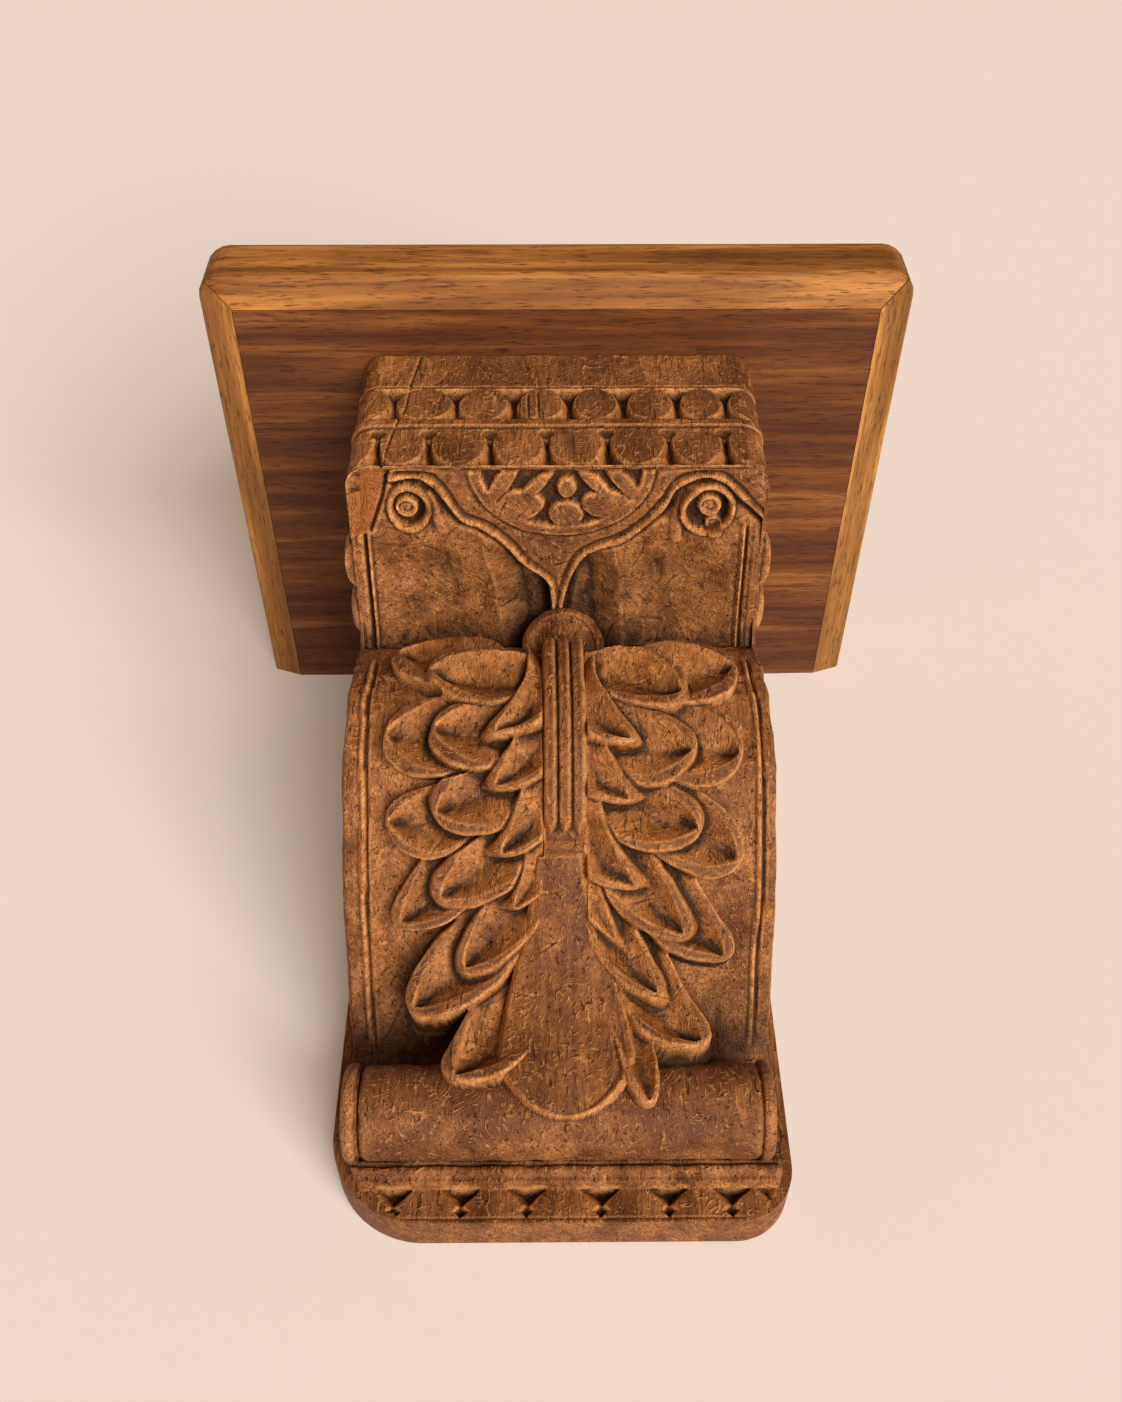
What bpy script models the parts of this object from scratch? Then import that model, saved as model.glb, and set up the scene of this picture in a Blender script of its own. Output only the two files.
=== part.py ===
"""A carved shelf bracket: one carved corbel under a shelf board that is edged with mitred strips.

The wall is the plane Y = 0 and the bracket stands out from it along -Y. The shelf's top faces +Z.
The origin is the middle of the corbel's flat back. In the names below, a drop is a distance down
from the top of the corbel, and a projection is a distance out from the wall.
"""

import math

import bmesh
import bpy
import numpy as np
from mathutils import Matrix, Vector

MM = 0.001
CLEARANCE = 0.3 * MM

# Shelf board
SHELF_WIDTH = 300 * MM
SHELF_DEPTH = 230 * MM
SHELF_THICKNESS = 33 * MM
SHELF_CORNER_RADIUS = 11 * MM
SHELF_TOP_ROUND = 5 * MM
STRIP_WIDTH = 14 * MM
CHAMFER_RISE = 4.7 * MM

# Corbel: back plate, top block, curved body, roll and foot
CORBEL_HEIGHT = 304 * MM
CORBEL_WIDTH = 167 * MM
PLATE_WIDTH = 176 * MM
PLATE_THICKNESS = 18 * MM
PLATE_LEFT_RADIUS = 36 * MM
PLATE_RIGHT_RADIUS = 22 * MM
BLOCK_HEIGHT = 84 * MM
BLOCK_PROJECTION = 195 * MM
BLOCK_CORNER_RADIUS = 10 * MM
NECK_DROP = 97 * MM
NECK_PROJECTION = 113 * MM
BELLY_PROJECTION = 126 * MM
POCKET_DROP = 237 * MM
RIM_WIDTH = 4 * MM
RIM_RELIEF = 2.5 * MM
ROLL_DROP = 268 * MM
ROLL_RADIUS = 17.5 * MM
ROLL_LENGTH = 149 * MM
ROLL_CAP_RADIUS = 18.5 * MM
ROLL_CAP_WIDTH = 6 * MM
FOOT_STEP_DROP = 282 * MM
FOOT_STEP_HEIGHT = 9 * MM
FOOT_STEP_PROJECTION = 24 * MM
SUNK = 2 * MM

# Carved rows on the front of the block and on the foot
ROUNDEL_DIAMETER = 21.5 * MM
ROUNDEL_PITCH = 23 * MM
ROUNDEL_ROW_DROP = 37 * MM
ROUNDEL_ROW_DEPTH = 3 * MM
ROUNDEL_COUNT = 6
DART_HEIGHT = 22 * MM
DART_WIDTH = 14 * MM
DART_DEPTH = 4 * MM
DART_ROW_DROP = 79 * MM
DART_PITCH = 24 * MM
DART_COUNT = 6
FOOT_DART_HEIGHT = 10 * MM
FOOT_DART_WIDTH = 9 * MM
FOOT_DART_DEPTH = 3.5 * MM
FOOT_DART_PITCH = 25.5 * MM
FOOT_DART_COUNT = 6

# Carving under the block: two scrolls, the moulding that joins them, and a half round medallion
SCROLL_RADIUS = 8 * MM
SCROLL_RELIEF = 2.6 * MM
SCROLL_ACROSS = 61 * MM
SCROLL_PROJECTION = 178 * MM
MOULDING_RADIUS = 2.4 * MM
MEDALLION_HALF_WIDTH = 35 * MM
MEDALLION_DEPTH = 26 * MM
PETAL_RELIEF = 4 * MM

# Leaf
LEAF_RELIEF = 10 * MM
LEAF_OVER_ROLL = 7 * MM
LEAF_SIDE_FALL = 7 * MM
STEM_WIDTH = 17 * MM
STEM_RELIEF = 6 * MM
STEM_END = 0.50
COLLAR_WIDTH = 34 * MM
COLLAR_HEIGHT = 22 * MM
RIB_WIDTH = 40 * MM
LEAFLET_ROOT_DEPTH = 13 * MM
SCOOP_DEPTH = 4.5 * MM
SIDE_LOBE_RELIEF = 4.5 * MM
SIDE_LOBE_LENGTH = 25 * MM
SIDE_LOBE_WIDTH = 16 * MM

# The chip that is broken from the block's lower left corner
CHIP_WIDTH = 17 * MM
CHIP_DEPTH = 27 * MM
CHIP_HEIGHT = 9 * MM

SHELF_UNDERSIDE = CORBEL_HEIGHT / 2
ROLL_PROJECTION = PLATE_THICKNESS + ROLL_RADIUS - SUNK
ROLL_FRONT = ROLL_PROJECTION + ROLL_RADIUS
LEAF_TOP = NECK_DROP + 3 * MM
LEAF_TIP = ROLL_DROP + ROLL_RADIUS
LEAF_LENGTH = LEAF_TIP - LEAF_TOP

# Side outline of the belly: share of the way from the neck to the pocket, share of its projection
BELLY = ((0.09, 0.935), (0.20, 0.985), (0.32, 1.0), (0.45, 0.98), (0.56, 0.90), (0.66, 0.79),
         (0.76, 0.65), (0.83, 0.50), (0.90, 0.33))

# Side outline of the leaf: share of its length, share of the way from the roll to the belly
LEAF_LINE = ((0, 0.80), (0.065, 0.94), (0.15, 1.0), (0.27, 1.0), (0.38, 0.90), (0.46, 0.76),
             (0.53, 0.59), (0.60, 0.39), (0.67, 0.22), (0.75, 0.11), (0.87, 0.05), (1.0, -0.05))

# Leaflets in hundredths of the leaf's length: root across and down, tip across and down, and
# width. The outer row lies lowest and the row along the stem highest. Each is on both sides.
OUTER_LEAFLETS = ((12, 16, 37, 10, 11), (16, 30, 38, 32, 14), (14, 43, 37, 46, 14),
                  (15, 53, 36, 61, 13), (12, 61, 31, 75, 13))
INNER_LEAFLETS = ((5, 17, 28, 18, 11), (8, 29, 28, 33, 13), (6, 38, 28, 45, 13),
                  (6, 47, 27, 58, 12), (6, 57, 22, 71, 11), (7, 66, 21, 91, 10))
STEM_LEAFLETS = ((4, 13, 15, 33, 8), (4, 27, 15, 43, 8), (4, 39, 14, 52, 8), (4, 50, 11, 60, 6))

# A leaflet's sections: share of the way from root to tip, share of its full width
LEAFLET_SHAPE = ((0, 0.25), (0.24, 0.62), (0.5, 0.92), (0.74, 1.0), (0.91, 0.76), (1.0, 0.34))

WOOD = {
    "panel_wood": ((0.16, 0.075, 0.035, 1), 0.5),
    "edge_wood": ((0.36, 0.17, 0.06, 1), 0.5),
    "corbel_wood": ((0.24, 0.11, 0.05, 1), 0.6),
}


def clear_scene():
    for obj in list(bpy.data.objects):
        bpy.data.objects.remove(obj)


def wood(name):
    """The named wood as a Principled material."""
    made = bpy.data.materials.get(name)
    if made is None:
        made = bpy.data.materials.new(name)
        made.use_nodes = True
        colour, roughness = WOOD[name]
        shader = made.node_tree.nodes["Principled BSDF"]
        shader.inputs["Base Color"].default_value = colour
        shader.inputs["Roughness"].default_value = roughness
    return made


def new_collection(name, helper=False):
    made = bpy.data.collections.new(name)
    made.hide_render = helper
    bpy.context.scene.collection.children.link(made)
    return made


def add_object(name, mesh, collection, material=None):
    obj = bpy.data.objects.new(name, mesh)
    collection.objects.link(obj)
    if material:
        mesh.materials.append(wood(material))
    if collection.hide_render:
        obj.hide_render = True
        obj.display_type = "WIRE"
    return obj


def mesh_of(name, shape):
    """A mesh from a bmesh, with its faces turned outwards."""
    bmesh.ops.recalc_face_normals(shape, faces=shape.faces)
    mesh = bpy.data.meshes.new(name)
    shape.to_mesh(mesh)
    shape.free()
    return mesh


def box(name, low, high, collection):
    """A box between two corners."""
    low, high = Vector(low), Vector(high)
    shape = bmesh.new()
    size = Matrix.Diagonal((high - low).to_4d())
    bmesh.ops.create_cube(shape, size=1, matrix=Matrix.Translation((low + high) / 2) @ size)
    return add_object(name, mesh_of(name, shape), collection)


def cylinder(name, centre, axis, radius, length, sides, collection):
    """A cylinder with its middle at centre."""
    shape = bmesh.new()
    turn = Vector(axis).to_track_quat("Z", "Y").to_matrix().to_4x4()
    place = Matrix.Translation(centre) @ turn
    bmesh.ops.create_cone(shape, cap_ends=True, segments=sides, radius1=radius, radius2=radius,
                          depth=length, matrix=place)
    return add_object(name, mesh_of(name, shape), collection)


def dome(name, centre, axes, half_sizes, collection, sides=12, rings=6):
    """A ball stretched to half_sizes along three axes."""
    shape = bmesh.new()
    frame = Matrix([list(axis) for axis in axes]).transposed().to_4x4()
    size = Matrix.Diagonal(Vector(half_sizes).to_4d())
    place = Matrix.Translation(centre) @ frame @ size
    bmesh.ops.create_uvsphere(shape, u_segments=sides, v_segments=rings, radius=1, matrix=place)
    return add_object(name, mesh_of(name, shape), collection)


def welded_mesh(curve_object):
    """The curve object's mesh with its caps welded on. The curve is removed."""
    bpy.context.view_layer.update()
    graph = bpy.context.evaluated_depsgraph_get()
    mesh = bpy.data.meshes.new_from_object(curve_object.evaluated_get(graph))
    mesh.transform(curve_object.matrix_world)
    bpy.data.objects.remove(curve_object)
    shape = bmesh.new()
    shape.from_mesh(mesh)
    bmesh.ops.remove_doubles(shape, verts=shape.verts, dist=0.00001)
    bmesh.ops.recalc_face_normals(shape, faces=shape.faces)
    shape.to_mesh(mesh)
    shape.free()
    return mesh


def curve_through(name, points, cyclic, dimensions):
    curve = bpy.data.curves.new(name, "CURVE")
    curve.dimensions = dimensions
    spline = curve.splines.new("POLY")
    spline.points.add(len(points) - 1)
    for point, place in zip(spline.points, points):
        point.co = (*place, *([0] * (3 - len(place))), 1)
    spline.use_cyclic_u = cyclic
    return curve


def prism(name, outline, thickness, place, collection, material=None):
    """A flat outline given a thickness, half of it on each side of the outline's plane."""
    curve = curve_through(name, outline, True, "2D")
    curve.fill_mode = "BOTH"
    curve.extrude = thickness / 2
    guide = bpy.data.objects.new(name + "_outline", curve)
    bpy.context.scene.collection.objects.link(guide)
    guide.matrix_world = place
    return add_object(name, welded_mesh(guide), collection, material)


def tube(name, points, radius, collection):
    """A round bar along points."""
    curve = curve_through(name, points, False, "3D")
    curve.bevel_depth = radius
    curve.bevel_resolution = 1
    curve.use_fill_caps = True
    guide = bpy.data.objects.new(name + "_line", curve)
    bpy.context.scene.collection.objects.link(guide)
    return add_object(name, welded_mesh(guide), collection)


def loft(name, sections, collection):
    """A closed solid through sections that have the same number of points."""
    shape = bmesh.new()
    rings = [[shape.verts.new(point) for point in section] for section in sections]
    count = len(rings[0])
    for ring, following in zip(rings, rings[1:]):
        for i in range(count):
            j = (i + 1) % count
            shape.faces.new((ring[i], ring[j], following[j], following[i]))
    shape.faces.new(rings[0])
    shape.faces.new(rings[-1])
    return add_object(name, mesh_of(name, shape), collection)


def smooth_line(points, steps):
    """Points of the Catmull-Rom curve through points, steps to a span."""
    given = np.array(points, float)
    ends = np.vstack([2 * given[0] - given[1], given, 2 * given[-1] - given[-2]])
    line = []
    for i in range(len(given) - 1):
        a, b, c, d = ends[i:i + 4]
        for t in np.arange(steps) / steps:
            line.append(0.5 * (2 * b + (c - a) * t + (2 * a - 5 * b + 4 * c - d) * t**2
                               + (3 * b - a - 3 * c + d) * t**3))
    line.append(given[-1])
    return np.array(line)


def arc(centre, radius, start, end, steps):
    """Points of an arc, from one angle in degrees to another."""
    angles = np.radians(np.linspace(start, end, steps + 1))
    return [(centre[0] + radius * math.cos(a), centre[1] + radius * math.sin(a)) for a in angles]


def at(across, projection, drop):
    """A place in the scene from the bracket's own three measures."""
    return Vector((across, -projection, SHELF_UNDERSIDE - drop))


def side_view():
    """Turns a flat outline so that its x is the projection and its y is the height."""
    return Matrix(((0, 0, -1, 0), (-1, 0, 0, 0), (0, 1, 0, 0), (0, 0, 0, 1)))


def wall_view(projection):
    """Turns a flat outline so that its x runs across and its y is the height."""
    turn = Matrix(((1, 0, 0, 0), (0, 0, -1, 0), (0, 1, 0, 0), (0, 0, 0, 1)))
    return Matrix.Translation((0, -projection, 0)) @ turn


# Shelf

def shelf_ring(inset, height):
    """The shelf's outline seen from above, drawn in by inset on its three moulded sides."""
    half = SHELF_WIDTH / 2 - inset
    front = -(SHELF_DEPTH - inset)
    radius = max(SHELF_CORNER_RADIUS - inset, 0.5 * MM)
    left = arc((-half + radius, front + radius), radius, 180, 270, 5)
    right = arc((half - radius, front + radius), radius, 270, 360, 5)
    plan = [(-half, 0), *left, *right, (half, 0)]
    return [Vector((x, y, SHELF_UNDERSIDE + CLEARANCE + height)) for x, y in plan]


def shelf_blank(name, helpers):
    """The whole board: chamfered below and rounded above on three sides, square at the wall."""
    edge = SHELF_TOP_ROUND
    sections = [shelf_ring(STRIP_WIDTH, 0), shelf_ring(0.8 * MM, CHAMFER_RISE)]
    sections.append(shelf_ring(0, CHAMFER_RISE + 1.5 * MM))
    for angle in (0, 30, 60, 90):
        turn = math.radians(angle)
        inset = edge * (1 - math.cos(turn))
        sections.append(shelf_ring(inset, SHELF_THICKNESS - edge * (1 - math.sin(turn))))
    return loft(name, sections, helpers)


def shelf_pieces(collection, helpers):
    """The panel and its three strips, each cut from the board's shape by its own plan."""
    half = SHELF_WIDTH / 2
    inner = half - STRIP_WIDTH
    front = -SHELF_DEPTH
    inner_front = front + STRIP_WIDTH
    gap = CLEARANCE / 2
    spare = STRIP_WIDTH
    mitre = gap * math.sqrt(2)
    plans = {
        "shelf_panel": [(-inner + gap, inner_front + gap), (inner - gap, inner_front + gap),
                        (inner - gap, spare), (-inner + gap, spare)],
        "front_edge_strip": [(-inner + mitre, inner_front - gap),
                             (-half - spare + mitre, front - spare - gap),
                             (half + spare - mitre, front - spare - gap),
                             (inner - mitre, inner_front - gap)],
        "left_edge_strip": [(-inner - gap, spare), (-half - spare, spare),
                            (-half - spare, front - spare + mitre),
                            (-inner - gap, inner_front + mitre)],
        "right_edge_strip": [(inner + gap, spare), (inner + gap, inner_front + mitre),
                             (half + spare, front - spare + mitre), (half + spare, spare)],
    }
    middle = Matrix.Translation((0, 0, SHELF_UNDERSIDE + SHELF_THICKNESS / 2))
    for name, plan in plans.items():
        material = "panel_wood" if name == "shelf_panel" else "edge_wood"
        piece = prism(name, plan, 2 * SHELF_THICKNESS, middle, collection, material)
        cut = piece.modifiers.new("board shape", "BOOLEAN")
        cut.operation = "INTERSECT"
        cut.solver = "EXACT"
        cut.object = shelf_blank(name + "_blank", helpers)


# Corbel

def body_line():
    """The curved body's side outline from the block's arris down to the pocket: drop, projection."""
    reach = POCKET_DROP - NECK_DROP
    points = [(BLOCK_HEIGHT, BLOCK_PROJECTION)]
    for share, inward in ((0.35, 0.39), (0.66, 0.74)):
        points.append((BLOCK_HEIGHT + share * (NECK_DROP - BLOCK_HEIGHT),
                       BLOCK_PROJECTION - inward * (BLOCK_PROJECTION - NECK_PROJECTION)))
    points.append((NECK_DROP, NECK_PROJECTION))
    points += [(NECK_DROP + down * reach, out * BELLY_PROJECTION) for down, out in BELLY]
    points.append((POCKET_DROP, PLATE_THICKNESS - SUNK))
    return smooth_line(points, 2)


def corbel_body(collection):
    """The curved body, as wide as the block."""
    line = [(projection, SHELF_UNDERSIDE - drop) for drop, projection in body_line()]
    top = SHELF_UNDERSIDE - BLOCK_HEIGHT + SUNK
    outline = [(SUNK, top), (BLOCK_PROJECTION - SUNK, top), *line]
    outline.append((SUNK, SHELF_UNDERSIDE - POCKET_DROP))
    return prism("corbel", outline, CORBEL_WIDTH, side_view(), collection, "corbel_wood")


def top_block(additions):
    """The square block under the shelf, with rounded front corners."""
    half = CORBEL_WIDTH / 2
    radius = BLOCK_CORNER_RADIUS
    front = -BLOCK_PROJECTION
    left = arc((-half + radius, front + radius), radius, 180, 270, 4)
    right = arc((half - radius, front + radius), radius, 270, 360, 4)
    plan = [(-half, -SUNK), *left, *right, (half, -SUNK)]
    middle = SHELF_UNDERSIDE - BLOCK_HEIGHT / 2
    prism("top_block", plan, BLOCK_HEIGHT, Matrix.Translation((0, 0, middle)), additions)


def back_plate(additions):
    """The plate against the wall, with its two lower corners rounded."""
    half = PLATE_WIDTH / 2
    top = SHELF_UNDERSIDE
    bottom = SHELF_UNDERSIDE - CORBEL_HEIGHT
    left = arc((-half + PLATE_LEFT_RADIUS, bottom + PLATE_LEFT_RADIUS), PLATE_LEFT_RADIUS,
               180, 270, 8)
    right = arc((half - PLATE_RIGHT_RADIUS, bottom + PLATE_RIGHT_RADIUS), PLATE_RIGHT_RADIUS,
                270, 360, 6)
    outline = [(-half, top), *left, *right, (half, top)]
    prism("back_plate", outline, PLATE_THICKNESS, wall_view(PLATE_THICKNESS / 2), additions)


def roll_and_foot(additions):
    """The round roll over the foot, its two curled ends, and the stepped moulding below it."""
    centre = at(0, ROLL_PROJECTION, ROLL_DROP)
    cylinder("roll", centre, (1, 0, 0), ROLL_RADIUS, ROLL_LENGTH, 24, additions)
    for side in (-1, 1):
        middle = at(side * (ROLL_LENGTH + ROLL_CAP_WIDTH) / 2, ROLL_PROJECTION, ROLL_DROP)
        cylinder("roll_end", middle, (1, 0, 0), ROLL_CAP_RADIUS, ROLL_CAP_WIDTH, 18, additions)
    half = PLATE_WIDTH / 2 - RIM_WIDTH
    middle = (FOOT_STEP_PROJECTION + PLATE_THICKNESS) / 2
    for out, height in ((FOOT_STEP_PROJECTION, 0.5), (middle, 1)):
        bottom = FOOT_STEP_DROP + height * FOOT_STEP_HEIGHT
        box("foot_step", at(-half, out, bottom), at(half, PLATE_THICKNESS - SUNK, ROLL_DROP),
            additions)


def side_rims(additions):
    """The raised rim that follows each side of the body on its front."""
    line = [point for point in body_line() if point[0] > NECK_DROP][1:-2]
    for side in (-1, 1):
        inner = CORBEL_WIDTH / 2 - RIM_WIDTH
        across = side * (inner + RIM_WIDTH / 2)
        points = [at(across, projection + RIM_RELIEF - RIM_WIDTH / 2, drop)
                  for drop, projection in line]
        tube("side_rim", points, RIM_WIDTH / 2, additions)


def face_drop(projection):
    """How far down the face under the block lies at a projection."""
    line = np.array([point for point in body_line() if point[0] <= NECK_DROP + CLEARANCE])
    return float(np.interp(projection, line[::-1, 1], line[::-1, 0]))


def on_face(across, projection, lift=0.0):
    """A place on the face under the block, lift below it."""
    return at(across, projection, face_drop(projection) + lift)


def block_carving(additions, cuts):
    """The sunk row of roundels and the row of darts on the block's front."""
    half = CORBEL_WIDTH / 2 - BLOCK_CORNER_RADIUS
    top = ROUNDEL_ROW_DROP - ROUNDEL_DIAMETER / 2
    bottom = ROUNDEL_ROW_DROP + ROUNDEL_DIAMETER / 2
    box("roundel_row", at(-half, BLOCK_PROJECTION + SUNK, bottom),
        at(half, BLOCK_PROJECTION - ROUNDEL_ROW_DEPTH, top), cuts)
    dart_row("block_dart", BLOCK_PROJECTION, DART_ROW_DROP, DART_HEIGHT, DART_WIDTH,
             DART_DEPTH, DART_PITCH, DART_COUNT, cuts)


def roundels(collection):
    """The roundels that stand in their sunk row, level with the block's front."""
    length = ROUNDEL_ROW_DEPTH + SUNK
    for i in range(ROUNDEL_COUNT):
        across = (i - (ROUNDEL_COUNT - 1) / 2) * ROUNDEL_PITCH
        middle = at(across, BLOCK_PROJECTION - length / 2, ROUNDEL_ROW_DROP)
        cylinder("roundel", middle, (0, 1, 0), ROUNDEL_DIAMETER / 2 - CLEARANCE, length, 16,
                 collection)


def dart_row(name, front, base_drop, height, width, depth, pitch, count, cuts):
    """Triangular pits in a row. Each has its base at base_drop and is deepest at its middle."""
    for i in range(count):
        across = (i - (count - 1) / 2) * pitch
        tip = at(across, front + SUNK, base_drop - height)
        feet = [at(across + side * width / 2, front + SUNK, base_drop) for side in (1, -1)]
        floor = at(across, front - depth, base_drop - height / 3)
        shape = bmesh.new()
        corners = [shape.verts.new(place) for place in (tip, *feet, floor)]
        bmesh.ops.convex_hull(shape, input=corners)
        add_object(name, mesh_of(name, shape), cuts)


def scroll_carving(additions):
    """Under the block: a scroll at each side, the moulding between them, and the medallion."""
    path = ((0, 0.20), (5, 0.38), (13, 0.49), (25, 0.60), (36, 0.71), (44, 0.83), (49, 0.91),
            (57, 0.945), (68, 0.90), (78, 0.74))
    reach = BLOCK_PROJECTION - NECK_PROJECTION
    for side in (-1, 1):
        points = [on_face(side * x * MM * CORBEL_WIDTH / (167 * MM), NECK_PROJECTION + y * reach)
                  for x, y in smooth_line(path, 2)]
        tube("moulding", points, MOULDING_RADIUS, additions)
        scroll(side, additions)
    medallion(additions)


def scroll(side, additions):
    """One scroll: a ring with a button in its middle."""
    turns = np.radians(np.linspace(-60, 210, 13))
    centre = (side * SCROLL_ACROSS, SCROLL_PROJECTION)
    points = [on_face(centre[0] + SCROLL_RADIUS * side * math.cos(a),
                      centre[1] + SCROLL_RADIUS * math.sin(a)) for a in turns]
    tube("scroll", points, SCROLL_RELIEF, additions)
    button = SCROLL_RADIUS / 2
    dome("scroll_eye", on_face(*centre), ((1, 0, 0), (0, 1, 0), (0, 0, 1)),
         (button, button, SCROLL_RELIEF), additions, 10, 6)


def medallion(additions):
    """A half round rim with three petals and two leaves inside it."""
    top = BLOCK_PROJECTION - 3 * MM
    turns = np.radians(np.linspace(0, 180, 13))
    rim = [on_face(MEDALLION_HALF_WIDTH * math.cos(a), top - MEDALLION_DEPTH * math.sin(a))
           for a in turns]
    tube("medallion_rim", rim, MOULDING_RADIUS, additions)
    width = MEDALLION_HALF_WIDTH
    petals = ((-0.48, 0.52, 0.24, 0.17), (0, 0.68, 0.20, 0.19), (0.48, 0.52, 0.24, 0.17),
              (-0.45, 0.18, 0.30, 0.09), (0.45, 0.18, 0.30, 0.09))
    for across, inward, half_width, half_depth in petals:
        place = on_face(across * width, top - inward * MEDALLION_DEPTH)
        dome("petal", place, ((1, 0, 0), (0, 1, 0), (0, 0, 1)),
             (half_width * width, half_depth * width, PETAL_RELIEF), additions, 10, 6)


# Leaf

def leaf_place(across, down, lift=0.0):
    """A place on the leaf: across the corbel, a share down its length, and lift off it."""
    line = np.array(LEAF_LINE)
    rise = float(np.interp(down, line[:, 0], line[:, 1]))
    low = ROLL_FRONT + LEAF_OVER_ROLL
    high = BELLY_PROJECTION + LEAF_RELIEF
    fall = LEAF_SIDE_FALL * (across / (CORBEL_WIDTH / 2)) ** 2
    return at(across, low + rise * (high - low) - fall + lift, LEAF_TOP + down * LEAF_LENGTH)


def leaf_frame(across, down):
    """A place on the leaf and the direction square to it."""
    step = 0.03
    place = leaf_place(across, down)
    along = leaf_place(across, down + step) - leaf_place(across, down - step)
    side = leaf_place(across + LEAF_LENGTH * step, down) - place
    return place, along.cross(side).normalized()


def leaflet(name, side, sizes, lift, additions):
    """One lobe, from its narrow root by the stem to its round tip, hollowed to a shallow V.

    A section has a rim at each side, a sunk middle line, and a back that is buried."""
    root_x, root_d, tip_x, tip_d, width = (0.01 * value for value in sizes)
    sections = []
    for t, share in LEAFLET_SHAPE:
        bow = 0.10 * math.sin(math.pi * t) * (tip_x - root_x)
        across = side * (root_x + (tip_x - root_x) * t) * LEAF_LENGTH
        down = root_d + (tip_d - root_d) * t - bow
        place, out = leaf_frame(across, down)
        ahead = leaf_place(side * tip_x * LEAF_LENGTH, tip_d)
        ahead -= leaf_place(side * root_x * LEAF_LENGTH, root_d)
        across_lobe = out.cross(ahead).normalized()
        half = width * LEAF_LENGTH / 2 * share
        rim = lift * (0.35 + 0.65 * math.sin(math.pi / 2 * min(1, 1.6 * t)))
        sunk = min(rim, SCOOP_DEPTH * math.sin(math.pi * t) + 0.2 * MM)
        levels = ((-1, rim - sunk / 2), (-0.72, rim), (0, rim - sunk), (0.72, rim),
                  (1, rim - sunk / 2), (1, -LEAFLET_ROOT_DEPTH), (-1, -LEAFLET_ROOT_DEPTH))
        sections.append([place + across_lobe * (half * u) + out * v for u, v in levels])
    loft(name, sections, additions)


def leaflets(additions):
    """All lobes of the leaf: the outer row, the inner row over it, and the row along the stem."""
    rows = ((OUTER_LEAFLETS, 3.5 * MM), (INNER_LEAFLETS, 6.5 * MM), (STEM_LEAFLETS, 9 * MM))
    for row, lift in rows:
        for sizes in row:
            for side in (-1, 1):
                leaflet("leaflet", side, sizes, lift, additions)


def leaf_bed(additions):
    """The wood that the lobes stand on: a sheet under the leaf, as deep as the body."""
    stations = [0.02, 0.10, 0.2, 0.32, 0.42, 0.5, 0.58, 0.66, 0.74]
    widths = [0.15, 0.25, 0.27, 0.25, 0.26, 0.25, 0.22, 0.18, 0.12]
    sections = []
    for down, width in zip(stations, widths):
        half = width * LEAF_LENGTH
        top = [leaf_place(half * u, down, -1 * MM) for u in (-1, -0.5, 0, 0.5, 1)]
        low = [leaf_place(half * u, down, -LEAFLET_ROOT_DEPTH * 1.4) for u in (1, 0, -1)]
        sections.append(top + low)
    loft("leaf_bed", sections, additions)


def tongue(additions):
    """The smooth middle lobe, from the foot of the stem to its tip over the roll."""
    sections = []
    shape = ((0.46, 4, 7), (0.55, 4.6, 7), (0.64, 7, 6.5), (0.74, 10.5, 6), (0.84, 12.5, 5.5),
             (0.92, 12, 5), (0.97, 8.5, 3.5), (1.0, 4, 1.5))
    for down, half_share, crown in shape:
        half = 0.01 * half_share * LEAF_LENGTH
        high = crown * MM
        top = [leaf_place(half * u, down, high * (1 - 0.5 * u * u))
               for u in (-1, -0.6, -0.2, 0.2, 0.6, 1)]
        low = [leaf_place(half * u, down, -LEAFLET_ROOT_DEPTH) for u in (1, -1)]
        sections.append(top + low)
    loft("tongue", sections, additions)


def tongue_root(additions):
    """The solid wood under the tongue, from the body across the pocket to the roll."""
    high = ROLL_FRONT + LEAF_OVER_ROLL - SUNK / 2
    start = NECK_DROP + 0.78 * (POCKET_DROP - NECK_DROP)
    outline = [(SUNK, start), (high, start), (high, ROLL_DROP - SUNK),
               (ROLL_FRONT - SUNK, ROLL_DROP), (SUNK, ROLL_DROP)]
    outline = [(projection, SHELF_UNDERSIDE - drop) for projection, drop in outline]
    prism("tongue_root", outline, RIB_WIDTH, side_view(), additions)


def stem(additions):
    """The stem down the middle of the leaf: a strip whose face is three round reeds."""
    reed = STEM_WIDTH / 3
    face = []
    for i in (-1, 0, 1):
        face += arc((i * reed, 0), reed / 2, 165, 15, 3)
    sections = []
    for down in np.linspace(0.02, STEM_END, 9):
        corners = [(across, STEM_RELIEF + 0.8 * rise) for across, rise in face]
        corners += [(STEM_WIDTH / 2, -LEAFLET_ROOT_DEPTH), (-STEM_WIDTH / 2, -LEAFLET_ROOT_DEPTH)]
        sections.append([leaf_place(across, down, lift) for across, lift in corners])
    loft("stem", sections, additions)


def collar(additions):
    """The domed collar above the stem."""
    place, out = leaf_frame(0, 0.03)
    across = Vector((1, 0, 0))
    along = out.cross(across)
    centre = place - out * (COLLAR_HEIGHT / 3)
    dome("collar", centre, (across, along, out),
         (COLLAR_WIDTH / 2, COLLAR_HEIGHT / 2, COLLAR_HEIGHT / 1.6), additions, 16, 8)


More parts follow.
